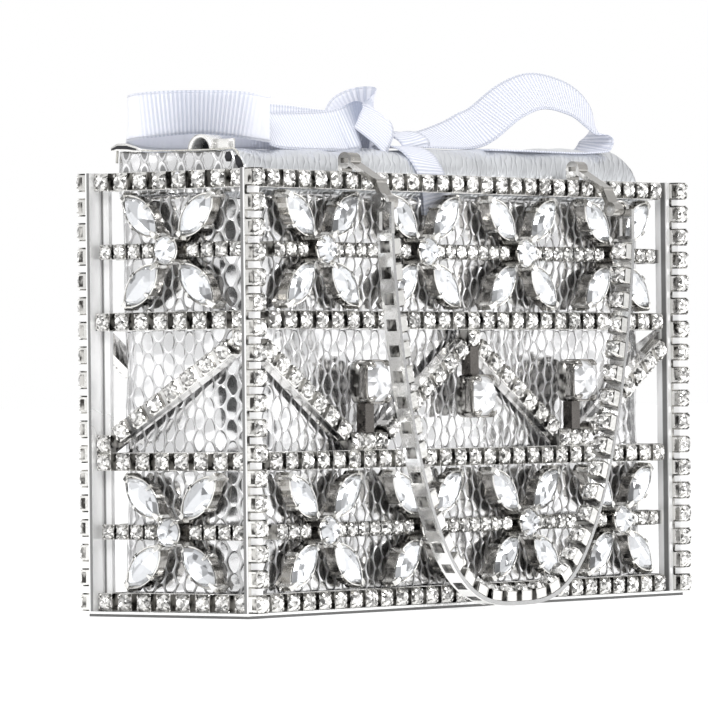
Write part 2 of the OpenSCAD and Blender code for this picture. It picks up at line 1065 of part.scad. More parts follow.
module across(x0, x1) {
    translate([x0, 0, pouch_rim])
        rotate([90, 0, 90])
            linear_extrude(x1 - x0)
                children();
}

module pouch_top() {
    x0 = pouch_off - pouch_len/2;
    x1 = pouch_off + pouch_len/2;
    color(leather)
        difference() {
            intersection() {
                across(x0, x1)
                    top_outline(0);
                rounded_box(0, pouch_rim, pouch_crest + over);
            }
            across(x0 + leather_t, x1 - leather_t)
                top_outline(leather_t);
        }
}

// A low arch at the left end of the pouch's top
keeper_r = 3.9;
keeper_t = 0.9;
keeper_rise = 2;
keeper_len = 6;
keeper_y = 6;
module pouch_keeper() {
    color(leather)
        translate([pouch_off - pouch_len/2 + corner_r, -keeper_y, 0])
            intersection() {
                translate([0, 0, pouch_crest + keeper_rise - keeper_r])
                    rotate([0, 90, 0])
                        difference() {
                            cylinder(r = keeper_r, h = keeper_len, $fn = cup_n);
                            translate([0, 0, -over])
                                cylinder(r = keeper_r - keeper_t, h = keeper_len + 2*over, $fn = cup_n);
                        }
                translate([-over, -keeper_r, pouch_crest])
                    cube([keeper_len + 2*over, 2*keeper_r, keeper_r]);
            }
}

// Ribbon

knot_x = -8.7;
knot_z = pouch_crest + knot_r + play*2;
rest_z = pouch_crest + ribbon_t/2 + gap;
edge_z = pouch_crest + ribbon_w/2 + gap*3;
knot_end = knot_x + knot_len;

module ribbon_knot() {
    color(cloth)
        translate([knot_x, 0, knot_z])
            rotate([0, 90, 0])
                rotate_extrude($fn = cup_n)
                    polygon([[0, 0], [knot_r - play*2, 0], [knot_r, knot_len/4], [knot_r, knot_len*3/4],
                        [knot_r - play*2, knot_len], [0, knot_len]]);
}

// A smooth curve through places, with n steps from each to the next
function smooth(p, n) = [for (i = [0 : len(p) - 2], k = [0 : n - 1]) curve_point(p, i, k/n)];
function curve_point(p, i, t) =
    let (a = p[max(i - 1, 0)], b = p[i], c = p[i + 1], d = p[min(i + 2, len(p) - 1)])
    (2*b + (c - a)*t + (2*a - 5*b + 4*c - d)*t*t + (3*b - a - 3*c + d)*t*t*t)/2;
function whole_curve(p, n) = concat(smooth(p, n), [p[len(p) - 1]]);

// A strip along the middle line p whose width lies along the directions q
module ribbon(p, q, w, t) {
    n = len(p);
    along = [for (i = [0 : n - 1]) p[min(i + 1, n - 1)] - p[max(i - 1, 0)]];
    side = [for (i = [0 : n - 1]) q[i]/norm(q[i])*w/2];
    face = [for (i = [0 : n - 1]) let (c = cross(along[i], side[i])) c/norm(c)*t/2];
    rings = [for (i = [0 : n - 1]) each [
        p[i] - side[i] - face[i], p[i] + side[i] - face[i],
        p[i] + side[i] + face[i], p[i] - side[i] + face[i]]];
    walls = [for (i = [0 : n - 2], k = [0 : 3]) each [
        [4*i + k, 4*i + (k + 1)%4, 4*(i + 1) + (k + 1)%4],
        [4*i + k, 4*(i + 1) + (k + 1)%4, 4*(i + 1) + k]]];
    polyhedron(rings, concat(walls, [[3, 2, 1], [3, 1, 0]],
        [[4*n - 4, 4*n - 3, 4*n - 2], [4*n - 4, 4*n - 2, 4*n - 1]]));
}

curve_steps = 5;
up = [0, 0, 1];

// The left loop stands on its edge: places as shares of its reach, of the pouch's half depth and of its lift
loop_lift = 2.4;
left_shares = [[0, -0.05, 0], [0.18, -0.15, 0], [0.34, -0.2, 0], [0.49, -0.23, 0], [0.59, -0.15, 0],
    [0.614, 0.1, 0.3], [0.63, 0.35, 0.8], [0.7, 0.55, 1], [0.82, 0.71, 1], [0.93, 0.85, 1],
    [0.995, 0.93, 0.8], [1.02, 0.985, 0.6], [1, 1.05, 0.4], [0.9, 0.98, 0.1], [0.73, 0.78, 0],
    [0.52, 0.46, 0], [0.28, 0.22, 0], [0, 0.08, 0]];
module ribbon_left_loop() {
    p = [for (s = left_shares) [knot_x - gap - s.x*left_reach, s.y*pouch_y, edge_z + s.z*loop_lift]];
    line = whole_curve(p, curve_steps);
    color(cloth)
        ribbon(line, [for (q = line) up], ribbon_w, ribbon_t);
}

// The right loop leaves the knot nearly flat, rises in an arch, turns and comes back flat along the pouch:
// places as shares of its reach, of the pouch's half depth and of its rise, then the way its width leans
arch_shares = [[0, -0.075, 0], [0.12, -0.09, 0], [0.26, -0.11, 0.1], [0.34, -0.14, 0.22], [0.41, -0.175, 0.37],
    [0.548, -0.235, 0.79], [0.688, -0.295, 1], [0.842, -0.36, 0.89], [0.94, -0.4, 0.64], [0.998, -0.43, 0.31],
    [0.998, -0.43, 0.05]];
back_shares = [[0.95, -0.4, 0.045], [0.79, -0.4, 0], [0.58, -0.39, 0], [0.42, -0.36, 0], [0.29, -0.32, 0]];
lean = [0.4, 0.45, 0.8];
root = [0, 0.92, 0.38];
flat = [0, 1, 0];
lean_shares = [0, 0, 0.5, 1, 1, 1, 1, 1, 1, 0.8, 0.3, 0, 0, 0, 0, 0];
module ribbon_right_loop() {
    root_lift = root.z*ribbon_w/2 + gap*3;
    shares = concat(arch_shares, back_shares);
    n = len(arch_shares);
    p = [for (i = [0 : len(shares) - 1]) let (s = shares[i])
        [knot_end + gap + s.x*right_reach, s.y*pouch_y, rest_z + s.z*right_rise + (i < n ? root_lift : 0)]];
    q = [for (i = [0 : len(lean_shares) - 1]) let (m = lean_shares[i])
        lean*m + (i < 3 ? root : flat)*(1 - m)];
    color(cloth)
        ribbon(whole_curve(p, curve_steps), whole_curve(q, curve_steps), ribbon_w, ribbon_t);
}

// The tail follows the front roll and hangs between the pouch and the top rail
tail_x = -9.5;
tail_end = 2.5;
module ribbon_tail() {
    r = roll_r + gap;
    z = pouch_crest - roll_r;
    y = -pouch_y + roll_r;
    lap = pouch_y - roll_r - tail_end;
    color(cloth)
        translate([tail_x - ribbon_w/2, 0, 0]) {
            intersection() {
                translate([0, y, z])
                    rotate([0, 90, 0])
                        difference() {
                            cylinder(r = r + ribbon_t, h = ribbon_w, $fn = curve_n);
                            translate([0, 0, -over])
                                cylinder(r = r, h = ribbon_w + 2*over, $fn = curve_n);
                        }
                translate([-over, y - r - over, z])
                    cube([ribbon_w + 2*over, r + over, r + over]);
            }
            translate([0, y - r - ribbon_t, z - tail_drop])
                cube([ribbon_w, ribbon_t, tail_drop]);
            translate([0, y, z + r])
                cube([ribbon_w, lap, ribbon_t]);
        }
}

base_plate();
post_front_left();
post_front_right();
post_back_left();
post_back_right();
long_rail(0);  // front_bottom_rail
long_rail(1);  // front_lower_rail
long_rail(2);  // front_upper_rail
long_rail(3);  // front_top_rail
back_rail(0);  // back_bottom_rail
back_rail(1);  // back_lower_rail
back_rail(2);  // back_upper_rail
back_rail(3);  // back_top_rail
left_rails();
right_rails();
front_flower_rails();
back_flower_rails();
side_flower_rails();
front_zigzag();
back_zigzag();
side_diagonals();
petal_stays();
front_row_cups();
back_row_cups();
side_row_cups();
post_cups();
zigzag_cups();
diagonal_cups();
front_row_stones();
back_row_stones();
side_row_stones();
post_stones();
zigzag_stones();
diagonal_stones();
petal_cups();
petal_stones();
flower_eye_cups();
flower_eye_stones();
drop_cups();
drop_stones();
drop_stems();
hinge_brackets();
hinge_pins();
handle_band();
handle_ends();
handle_cups();
handle_stones();
pouch_shell();
pouch_lining();
pouch_top();
pouch_keeper();
ribbon_knot();
ribbon_left_loop();
ribbon_right_loop();
ribbon_tail();
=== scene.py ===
# %% [markdown]
# # A small evening bag
# The real object is a soft pouch of metallic leather that stands in an open cage of plated bars.
# Rows of small stones in square settings cover the bars, flowers of pointed stones fill two bands,
# and a ribbon bow ties the pouch. The cage is loaded as it was built. Each soft or sparkling piece is
# then worked out with numpy, in millimetres, and put into the same frame in metres.

# %% Load the cage
import math
import bpy
import numpy as np
from mathutils import Matrix, Vector


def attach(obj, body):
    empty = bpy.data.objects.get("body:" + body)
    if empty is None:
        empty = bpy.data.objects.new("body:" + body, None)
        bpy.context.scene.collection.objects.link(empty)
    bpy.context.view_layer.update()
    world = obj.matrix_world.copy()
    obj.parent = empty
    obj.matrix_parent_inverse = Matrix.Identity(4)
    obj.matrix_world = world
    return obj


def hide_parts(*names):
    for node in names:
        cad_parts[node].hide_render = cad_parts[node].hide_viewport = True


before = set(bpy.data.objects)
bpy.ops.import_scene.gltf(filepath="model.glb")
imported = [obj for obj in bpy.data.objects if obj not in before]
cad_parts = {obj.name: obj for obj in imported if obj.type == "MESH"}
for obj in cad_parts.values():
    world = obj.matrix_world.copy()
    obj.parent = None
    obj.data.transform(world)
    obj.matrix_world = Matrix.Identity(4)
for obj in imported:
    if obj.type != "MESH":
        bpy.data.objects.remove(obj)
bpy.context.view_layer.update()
MM = 0.001

# %% [markdown]
# ## The camera
# The photograph looks at the left front corner from far away with a long lens, almost level with the
# middle of the bag. A camera can be placed by eye, but here its numbers come from a fit to the rows of
# stones, whose even pitch shows the perspective. The camera stands on a circle round the bag and is
# turned a little, so that the bag sits where it sits in the photograph.

# %% Place the camera
PICTURE = 708
azimuth, elevation, roll = np.radians([-52.486, 0.074, -0.597])
distance, focal = 1.5075, 6099.2
aim_x, aim_y, aim_height = 394.9, 402.9, 50
sensor = 36
back = np.array([np.sin(azimuth)*np.cos(elevation), -np.cos(azimuth)*np.cos(elevation), np.sin(elevation)])
level = np.array([np.cos(azimuth), np.sin(azimuth), 0.0])
upright = np.cross(back, level)
right = np.cos(roll)*level + np.sin(roll)*upright
above = np.cos(roll)*upright - np.sin(roll)*level
look = -back + (PICTURE/2 - aim_x)/focal*right + (aim_y - PICTURE/2)/focal*above
look /= np.linalg.norm(look)
side = np.cross(look, above)
side /= np.linalg.norm(side)
turn = np.eye(4)
turn[:3, :3] = np.column_stack([side, np.cross(side, look), -look])
turn[:3, 3] = np.array([0, 0, aim_height*MM]) + distance*back
camera = bpy.data.objects.new("camera", bpy.data.cameras.new("camera"))
bpy.context.collection.objects.link(camera)
camera.matrix_world = Matrix(turn.tolist())
camera.data.sensor_width = sensor
camera.data.lens = focal/PICTURE*sensor
camera.data.clip_end = 100
bpy.context.scene.camera = camera
print("camera at", turn[:3, 3].round(3))

# %% [markdown]
# ## Writing shader maths as sums
# A material is a graph of nodes. The class below wraps one output socket, so that an expression such
# as 1 - mask*0.3 adds the Math nodes that it needs, and every other node comes from one method. The
# methods after it only give that method's most used calls a short name.

# %% A socket that can be added and multiplied
class Wire:
    """One output socket of a shader node. Operators on it add Math nodes to its tree."""

    def __init__(self, tree, socket=None):
        self.tree, self.socket = tree, socket

    def node(self, kind, inputs=(), out=0, **settings):
        """Adds a node of a kind, sets it up, then feeds its inputs from numbers or other wires."""
        made = self.tree.nodes.new("ShaderNode" + kind)
        for key, value in settings.items():
            setattr(made, key, value)
        for key, value in (inputs.items() if isinstance(inputs, dict) else enumerate(inputs)):
            if isinstance(value, Wire):
                self.tree.links.new(value.socket, made.inputs[key])
            else:
                made.inputs[key].default_value = value
        return Wire(self.tree, made.outputs[out])

    def maths(self, operation, *others):
        """One Math node on this value and the others."""
        return self.node("Math", (self, *others), operation=operation)

    def vector(self, operation, *others):
        """One Vector Math node on this vector and the others."""
        return self.node("VectorMath", (self, *others), operation=operation)

    def __add__(self, other): return self.maths("ADD", other)
    def __radd__(self, other): return self.maths("ADD", other)
    def __sub__(self, other): return self.maths("SUBTRACT", other)
    def __rsub__(self, other): return self.node("Math", (other, self), operation="SUBTRACT")
    def __mul__(self, other): return self.maths("MULTIPLY", other)
    def __rmul__(self, other): return self.maths("MULTIPLY", other)
    def __truediv__(self, other): return self.maths("DIVIDE", other)
    def __lt__(self, other): return self.maths("LESS_THAN", other)
    def __abs__(self): return self.maths("ABSOLUTE")

    def step(self, low, high, start=0.0, end=1.0):
        """Rises smoothly from start at low to end at high."""
        return self.node("MapRange", (self, low, high, start, end), interpolation_type="SMOOTHSTEP")

    def mix(self, dark, light):
        """Blends two colours by this value."""
        return self.node("Mix", {0: self, 6: dark, 7: light}, out=2, data_type="RGBA")

    def part(self, axis):
        """One number of a vector: 0 for x, 1 for y, 2 for z."""
        return self.node("SeparateXYZ", (self,), out=axis)

    def noise(self, scale, detail=2.0):
        """Cloudy noise at this place, about scale clouds to the metre."""
        return self.node("TexNoise", {0: self, 2: scale, 3: detail})

    def bump(self, strength, depth, **more):
        """The surface's normal, tipped as if this value were its height, with depth in metres."""
        return self.node("Bump", {0: strength, 1: depth, 3: self, **more}, out=0)

    def place(self):
        """Where a point of the piece is, in metres."""
        return self.node("TexCoord", out=3)

    def surface(self):
        """The distances over the surface that its mesh carries, in metres."""
        return self.node("Attribute", attribute_name="surface", out=1)

    def normal(self):
        """Which way the surface looks."""
        return self.node("NewGeometry", out=1)

    def facing(self, axis):
        """How squarely the surface faces along an axis, from 0 to 1."""
        return abs(self.normal().part(axis))


# %% Colours and materials
def grey(shade, tint=(1, 1, 1)):
    """A colour of one shade, tinted a little."""
    return (shade*tint[0], shade*tint[1], shade*tint[2], 1)


def finish(name, varied, **steady):
    """A material with one Principled shader. varied(wire) gives the sockets that change over the
    surface, steady the ones that are the same everywhere."""
    material = bpy.data.materials.new(name)
    material.use_nodes = True
    tree = material.node_tree
    shader = tree.nodes["Principled BSDF"]
    for key, value in steady.items():
        shader.inputs[key.replace("_", " ")].default_value = value
    for key, wire in varied(Wire(tree)).items():
        tree.links.new(wire.socket, shader.inputs[key])
    print("finish", name, len(tree.nodes), "nodes")
    return material


# %% [markdown]
# ## Plated metal
# The bars and settings are bright plated brass. One flat mirror would look like a drawing, because
# real plating is never quite even: it pools in faint clouds, and fine rubbing changes how sharply it
# reflects. So a cloud noise drives the shade, a finer one the roughness and a very low bump.

# %% Even plating
def plating(dull, colour):
    """Bright plating. colour(wire) gives its shade, and a fine noise its roughness, from 0.6 to 1.5
    times dull, and its bump."""
    def varied(w):
        fine = w.place().noise(900.0)
        return {"Base Color": colour(w), "Roughness": fine.step(0.2, 0.8, dull*0.6, dull*1.5),
                "Normal": fine.bump(0.12, 0.2*MM)}
    return varied


def clouded(shade, tint=(1, 0.99, 0.97)):
    """A shade that drifts down by a seventh in clouds of about a centimetre."""
    def colour(w):
        return w.place().noise(90.0, 3.0).step(0.3, 0.7).mix(grey(shade*0.86, tint), grey(shade, tint))
    return colour


metal = finish("plated_metal", plating(0.11, clouded(0.76)), Metallic=1.0)
cup_metal = finish("setting_metal", plating(0.1, clouded(0.76, (1, 0.99, 0.96))), Metallic=0.92)
# The darker plating below is painted shade, for setting walls seen from the side, the stays and the brackets.
shaded_metal = finish("painted_shade_metal", plating(0.16, clouded(0.4, (1, 0.97, 0.92))), Metallic=1.0)
stem_metal = finish("stem_metal", plating(0.25, clouded(0.13, (1, 0.93, 0.87))), Metallic=1.0)
pin_metal = finish("pin_metal", plating(0.2, clouded(0.55)), Metallic=1.0)

# %% [markdown]
# ## Painted shade on the plating
# A finish can change over a piece by the height or by the way a face looks, and so fit any piece.
# Most such changes here are painted shade: grey edges on the handle, dark feet under the slanted bars,
# a dark line on each post and dark walls between settings; the base plate has a dark line at its foot.

# %% Plating with painted shade
def shaded_band_edges(w):
    """White on a band's faces, and a painted shade of dull grey on its narrow front and back edges."""
    return w.facing(1).step(0.8, 0.95).mix(grey(0.82, (1, 0.995, 0.98)), grey(0.4))


def shaded_feet(w):
    """Bright at the top of the slanted bars, and nearly black towards their feet: painted shade in the corner.
    """
    return w.place().part(2).step(43*MM, 56*MM).mix(grey(0.06), grey(0.74, (1, 0.99, 0.97)))


def line_at_foot(w):
    """The base plate's edge: bright above, with a dark line where it stands."""
    return w.place().part(2).step(0.6*MM, 0.7*MM).mix(grey(0.12), grey(0.85))


def posts_with_shade_line(w):
    """Posts: smooth white plating, with a painted shade line of dull grey on each flange beside the post's
    outer edge, between 22.5 and 24 mm from the middle of the bag's depth."""
    clouds = w.place().noise(60.0, 3.0)
    depth = abs(w.place().part(1))
    line = depth.step(22.3*MM, 22.7*MM)*depth.step(24.1*MM, 23.8*MM)*w.facing(0).step(0.8, 0.95)
    white = clouds.step(0.3, 0.7).mix(grey(0.92), grey(0.97))
    return {"Base Color": line.mix(white, grey(0.2)), "Roughness": clouds.step(0.2, 0.8, 0.25, 0.4)}


def shade_between_settings(w):
    """Walls between settings: painted shade, nearly black to mid grey, changing from wall to wall and down
    each.
    """
    blotch = w.place().noise(420.0)
    deepest_shade, palest_shade = grey(0.05, (1, 0.96, 0.9)), grey(0.6, (1, 0.98, 0.94))
    return {"Base Color": blotch.step(0.38, 0.62).mix(deepest_shade, palest_shade), "Roughness": blotch.step(0.2, 0.8, 0.2, 0.4)}


post_metal = finish("post_metal", posts_with_shade_line, Metallic=0.45)
band_metal = finish("handle_metal", plating(0.12, shaded_band_edges), Metallic=0.75)
leg_metal = finish("slanted_bar_metal", plating(0.12, shaded_feet), Metallic=0.9)
base_metal = finish("base_metal", plating(0.15, line_at_foot), Metallic=0.8)
deep_shade_metal = finish("painted_deep_shade", shade_between_settings, Metallic=1.0)

# %% [markdown]
# ## Foiled stones
# A set stone has a mirror foil behind it, so light goes in, bounces between the facets and comes out
# again from many small patches at once. Clear glass would need hundreds of light paths for each
# pixel. The stones here are polished facets whose surface normals are broken up once more into small
# cells, and each cell also gets a painted shade between grey and white, a painted reflection. Both
# together show the same mosaic of white, grey and black for far less work.

# %% Stone finishes
def foiled(cell, broken, low, tint):
    """Mirror facets broken into cells of a size. Each cell's normal leans by its own random vector
    times broken, and its shade, a painted reflection, lies between low and white."""
    def varied(w):
        cells = w.node("TexVoronoi", {0: w.place(), 2: 1/cell}, out=1, feature="F1")
        lean = cells.vector("SUBTRACT", (0.5, 0.5, 0.5)).vector("MULTIPLY", (broken, broken, broken))
        shade = cells.part(0)
        return {"Base Color": shade.step(0.1, 0.7).mix(grey(low, tint), grey(0.97, tint)),
                "Normal": w.normal().vector("ADD", lean).vector("NORMALIZE"),
                "Roughness": shade.step(0.0, 1.0, 0.05, 0.16)}
    return varied


small_gem = finish("small_stone", foiled(0.95*MM, 0.6, 0.3, (1, 0.99, 0.97)), Metallic=0.72)
large_gem = finish("large_stone", foiled(4.2*MM, 0.16, 0.6, (0.97, 0.99, 1.02)), Metallic=0.72)
pale_gem = finish("pale_stone", foiled(4.6*MM, 0.14, 0.8, (0.98, 0.99, 1.01)), Metallic=0.55)

# %% [markdown]
# ## Shapes and copies of them
# A shape is a table of corners and a table of faces for each number of sides. Blender could repeat an
# object, but hundreds of objects are slow and hard to hand over. Here the copies of a shape are made
# by turning all its corners at once with one matrix for each place, so that they become one mesh.

# %% Shapes and copies
def join(*shapes):
    """One shape out of several: their corners one after another, their faces counted on."""
    corners, faces, count = [], {}, 0
    for shape in shapes:
        corners.append(shape[0])
        for sides, table in shape[1].items():
            faces.setdefault(sides, []).append(table + count)
        count += len(shape[0])
    return np.concatenate(corners), {sides: np.concatenate(t) for sides, t in faces.items()}


def copies(shape, places):
    """The shape at each place: corner = origin + x*right + y*up + z*out."""
    origins, axes = places
    corners = origins[:, None, :] + np.einsum("ni,kij->knj", shape[0], axes)
    shift = np.arange(len(origins))[:, None, None]*len(shape[0])
    return corners.reshape(-1, 3), {s: (t[None] + shift).reshape(-1, s) for s, t in shape[1].items()}


def moved(shape, x, y, z):
    """The shape shifted: corner + (x, y, z)."""
    return shape[0] + [x, y, z], shape[1]


def turned(shape, angle):
    """The shape turned about its z axis: (x*cos - y*sin, x*sin + y*cos, z)."""
    c, s = math.cos(angle), math.sin(angle)
    return shape[0] @ np.array([[c, s, 0], [-s, c, 0], [0, 0, 1]]), shape[1]


# %% Meshes and what they stand for
def make(name, shape, material, smooth=False):
    """Puts a shape into a mesh object, in metres, with its object at the origin."""
    corners, faces = shape
    mesh = bpy.data.meshes.new(name)
    mesh.from_pydata((corners*MM).tolist(), [], [f for t in faces.values() for f in t.tolist()])
    mesh.polygons.foreach_set("use_smooth", [smooth]*len(mesh.polygons))
    mesh.materials.append(material)
    mesh.update()
    piece = bpy.data.objects.new(name, mesh)
    bpy.context.collection.objects.link(piece)
    return piece


def build(name, shape, material, body, slot, *nodes, smooth=False):
    """Makes a piece that rides on a body, in place of the CAD nodes that it stands for."""
    piece = make(name, shape, material, smooth)
    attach(piece, body)
    if nodes:
        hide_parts(*nodes)
    print(name, len(piece.data.vertices), "corners")
    return piece


# %% Tubes and blocks
def circle(count):
    """Even angles round a circle, in radians."""
    return 2*np.pi*np.arange(count)/count


def polar(radius, angle, z):
    """Corners at a radius and angle: (r*cos a, r*sin a, z)."""
    return np.c_[radius*np.cos(angle), radius*np.sin(angle), np.full(len(angle), z)]


def tube(rings):
    """Faces between rings of corners, an array rings x corners x 3 in which each ring is closed. The
    first and last ring get a flat face."""
    n, m = rings.shape[:2]
    i, k = np.meshgrid(np.arange(n - 1), np.arange(m), indexing="ij")
    a, b = i*m + k, i*m + (k + 1) % m
    faces = {4: np.stack([a, b, b + m, a + m], -1).reshape(-1, 4)}
    ends = np.stack([np.arange(m)[::-1], np.arange(m) + (n - 1)*m])
    faces[m] = np.concatenate([faces[4], ends]) if m == 4 else ends
    return rings.reshape(-1, 3), faces


def block(width, height, depth, edge):
    """A box on the plane z = 0 with its long edges cut back by edge: three rings of eight corners,
    the last one smaller by edge."""
    a, b, e = width/2, height/2, edge
    ring = np.array([[-a + e, -b], [a - e, -b], [a, -b + e], [a, b - e],
                     [a - e, b], [-a + e, b], [-a, b - e], [-a, -b + e]])
    steps = ((ring, 0), (ring, depth - e), (ring*[1 - e/a, 1 - e/b], depth))
    return tube(np.stack([np.c_[corners, np.full(8, z)] for corners, z in steps]))


# %% [markdown]
# ## Where the stones sit
# The rows follow the same sizes as the cage: 27 stones on each long bar, 8 on each short one and 18 on
# each post. A place is an origin with three directions: right along the row, up, and out of the face.
# Kept as arrays, a whole row is placed at once, and the back takes the front's places turned round.

# %% Places on a face
LONG, SHORT = ("front", "back"), ("left", "right")
FACES = {
    "front": ((1, 0, 0), (0, -1, 0)), "back": ((-1, 0, 0), (0, 1, 0)),
    "left": ((0, -1, 0), (-1, 0, 0)), "right": ((0, 1, 0), (1, 0, 0)),
}


def on_face(face, out, across, height, tilt=0.0):
    """Places on one face of the cage, out millimetres from the middle: across along the face, at a
    height, turned by tilt in radians. origin = across*right + height*up + out*outwards."""
    right_way, out_way = (np.array(v, float) for v in FACES[face])
    across, height, tilt = np.broadcast_arrays(*(np.asarray(v, float) for v in (across, height, tilt)))
    across, height, tilt = across.ravel(), height.ravel(), tilt.ravel()
    up_way = np.array([0, 0, 1.0])
    origin = across[:, None]*right_way + height[:, None]*up_way + out*out_way
    c, s = np.cos(tilt)[:, None], np.sin(tilt)[:, None]
    first, second = c*right_way + s*up_way, c*up_way - s*right_way
    return origin, np.stack([first, second, np.broadcast_to(out_way, first.shape)], 1)


def together(*places):
    """One table of places out of several."""
    return np.concatenate([p[0] for p in places]), np.concatenate([p[1] for p in places])


def on_faces(faces, out, *where):
    """The same places on each of several faces."""
    return together(*(on_face(face, out, *where) for face in faces))


def evenly(span, count):
    """Even steps from -span/2 to span/2."""
    return np.linspace(-span/2, span/2, count)


# %% The straight rows
rail_face, post_face, side_face = 22.0, 24.3, 84.2
first_row, row_step, small_pitch = 3.4, 33.3, 4.4
long_span, short_span, post_span = 156, 41.8, 99.9
post_middle, post_lines = 53.35, (-86.4, 86.4)
flower_columns = (-60, -20, 20, 60)
row_heights = first_row + row_step*np.arange(4)
flower_heights = row_heights[[0, 2]] + row_step/2
beside_flowers = np.concatenate([x + evenly(26.4, 7) for x in (-40, 0, 40)]
                                + [s*(66.8 + small_pitch*np.arange(3)) for s in (-1, 1)])
beside_side_flower = np.concatenate([s*(6.8 + small_pitch*np.arange(4)) for s in (-1, 1)])
long_row, short_row = (np.meshgrid(x, row_heights) for x in (evenly(long_span, 27), evenly(short_span, 8)))
small_long, small_short = (np.meshgrid(x, flower_heights) for x in (beside_flowers, beside_side_flower))
post_rows = together(*(on_face(face, post_face, x, evenly(post_span, 18) + post_middle, np.pi/2)
                       for face in LONG for x in post_lines))
print("rows at", row_heights, "flowers at", flower_heights)


# %% The slanted rows
def between(a, b, count):
    """Points that split the line from a to b into equal steps, without its ends, and its slope."""
    a, b = np.array(a, float), np.array(b, float)
    t = np.arange(1, count + 1)[:, None]/(count + 1)
    points = a + (b - a)*t
    return points[:, 0], points[:, 1], np.full(count, math.atan2(*(b - a)[::-1]))


high, low, foot, foot_pitch, leg_stones = 65.7, 41.0, 42.1, 4.7, 7
zigzag_legs = (((0, high), (foot - foot_pitch, low)), ((foot + foot_pitch, low), (side_face, high)))
side_leg = ((-20.9, low), (20.9, high))
at_foot = (foot + foot_pitch*np.arange(-1, 2), np.full(3, low), np.zeros(3))
zig = [np.concatenate(v) for v in zip(*(between(a, b, leg_stones) for a, b in zigzag_legs), at_foot)]
zig = [np.append(v, crest) for v, crest in zip(zig, (0, high, 0))]
inner = zig[0] > 0
zig = [np.r_[v, sign*v[inner]] for v, sign in zip(zig, (-1, 1, -1))]
slant = [np.concatenate(v) for v in zip(between(*side_leg, leg_stones), (*np.transpose(side_leg), (0, 0)))]

groups = {
    "front_row": (on_face("front", rail_face, *long_row), on_face("front", rail_face, *small_long)),
    "back_row": (on_face("back", rail_face, *long_row), on_face("back", rail_face, *small_long)),
    "side_row": (on_faces(SHORT, side_face, *short_row), on_faces(SHORT, side_face, *small_short)),
    "post": (post_rows, None),
    "zigzag": (on_faces(LONG, rail_face, *zig), None),
    "diagonal": (together(on_face("left", side_face, *slant),
                          on_face("right", side_face, -slant[0], slant[1], -slant[2])), None),
}
print("stones on the cage", sum(len(p[0]) for g in groups.values() for p in g if p is not None))

# %% [markdown]
# ## One setting and one stone
# A square setting is a shallow box with a claw at each corner that bends over the stone. The stone is
# round with a flat table, kite facets and small ones at its girdle. The table is cut as a low dish of
# eight facets, which is how the point behind it shows through. Each is a few rings of corners, because
# a shape that is repeated hundreds of times has to stay small.

# %% A claw and the square setting
def claw(reach, tall, wide, tip):
    """A bent finger: square rings from its foot at (reach, 0) up, leaning in by tip over the stone."""
    path = np.array([[reach, 0.0], [reach, tall*0.72], [reach - tip*0.35, tall*0.92], [reach - tip, tall]])
    size = np.array([1.0, 0.9, 0.75, 0.45])*wide/2
    square = np.array([[1, -1], [1, 1], [-1, 1], [-1, -1]])
    return tube(np.stack([np.c_[p[0] + square[:, 0]*s*0.6, square[:, 1]*s, np.full(4, p[1])]
                          for p, s in zip(path, size)]))


def square_setting(width, depth):
    """A square box with cut edges and four corner claws."""
    claws = [turned(claw(width*0.54, depth*1.28, width*0.2, width*0.17), a)
             for a in np.pi/4 + np.pi/2*np.arange(4)]
    return join(block(width, width, depth*0.95, width*0.09), *claws)


def cheeks(width, depth):
    """The two sides of a setting that face its neighbours, dark with painted shade."""
    plate = block(0.12, width*0.96, depth*0.93, 0.02)
    return join(*(moved(plate, side*width/2, 0, 0) for side in (-1, 1)))


cup_size, small_size = (4.2, 2.7), (3.6, 2.4)
cup, small_cup = square_setting(*cup_size), square_setting(*small_size)
cup_cheeks, small_cheeks = cheeks(*cup_size), cheeks(*small_size)
print("a setting has", len(cup[0]), "corners")


# %% A cut stone
def brilliant(radius, crown, wall, count=8, outline=None, table=0.56):
    """A cut stone with its girdle at z = 0 and a wall below it. Rings of points at angles a: dish
    centre, dish, table, stars, girdle and foot. outline(a) stretches the circle for a stone that
    isn't round, and the facets are three or four corners of neighbouring rings."""
    a = circle(2*count)
    stretch = outline(a) if outline else np.ones_like(a)
    even, odd, every = np.arange(0, 2*count, 2), np.arange(1, 2*count, 2), np.arange(2*count)

    def ring(share, z, pick):
        return polar(radius*share*stretch[pick], a[pick], z)

    parts = [np.array([[0, 0, crown*0.62]]), ring(table*0.55, crown*0.86, odd), ring(table, crown, even),
             ring(0.8, crown*0.6, odd), ring(1.0, 0.0, every), ring(0.96, -wall, every)]
    c, d, t, s, g, f = np.cumsum([0] + [len(p) for p in parts[:-1]])
    k = np.arange(count)
    nxt, after, turn_on = (k + 1) % count, g + (2*k + 2) % (2*count), (every + 1) % (2*count)
    stack = lambda *columns: np.stack(np.broadcast_arrays(*columns), -1)
    faces3 = [stack(c, d + k, d + nxt), stack(d + k, t + nxt, d + nxt), stack(t + k, t + nxt, d + k),
              stack(t + k, s + k, t + nxt), stack(s + k, g + 2*k, g + 2*k + 1),
              stack(s + k, g + 2*k + 1, after)]
    faces4 = [stack(t + nxt, s + k, after, s + nxt), stack(g + every, f + every, f + turn_on, g + turn_on)]
    return np.concatenate(parts), {3: np.concatenate(faces3), 4: np.concatenate(faces4)}


gem = brilliant(radius=2.0, crown=1.05, wall=0.8)
little_gem = brilliant(radius=1.7, crown=0.95, wall=0.7)
print("a stone has", len(gem[0]), "corners")

# %% [markdown]
# ## The rows of stones
# On the real bars each stone was set by hand, so no two face quite the same way, and the sparkle runs
# along a row in no order. Every stone is therefore turned and tipped a little by a seeded chance,
# which gives the same bag on each run. The slanted rows stand on bars of their own.

# %% Turning stones by chance
chance = np.random.default_rng(4)
tip_most = 0.05


def lifted(places, lift):
    """The same places, lift millimetres further out of their face."""
    return places[0] + lift*places[1][:, 2], places[1]


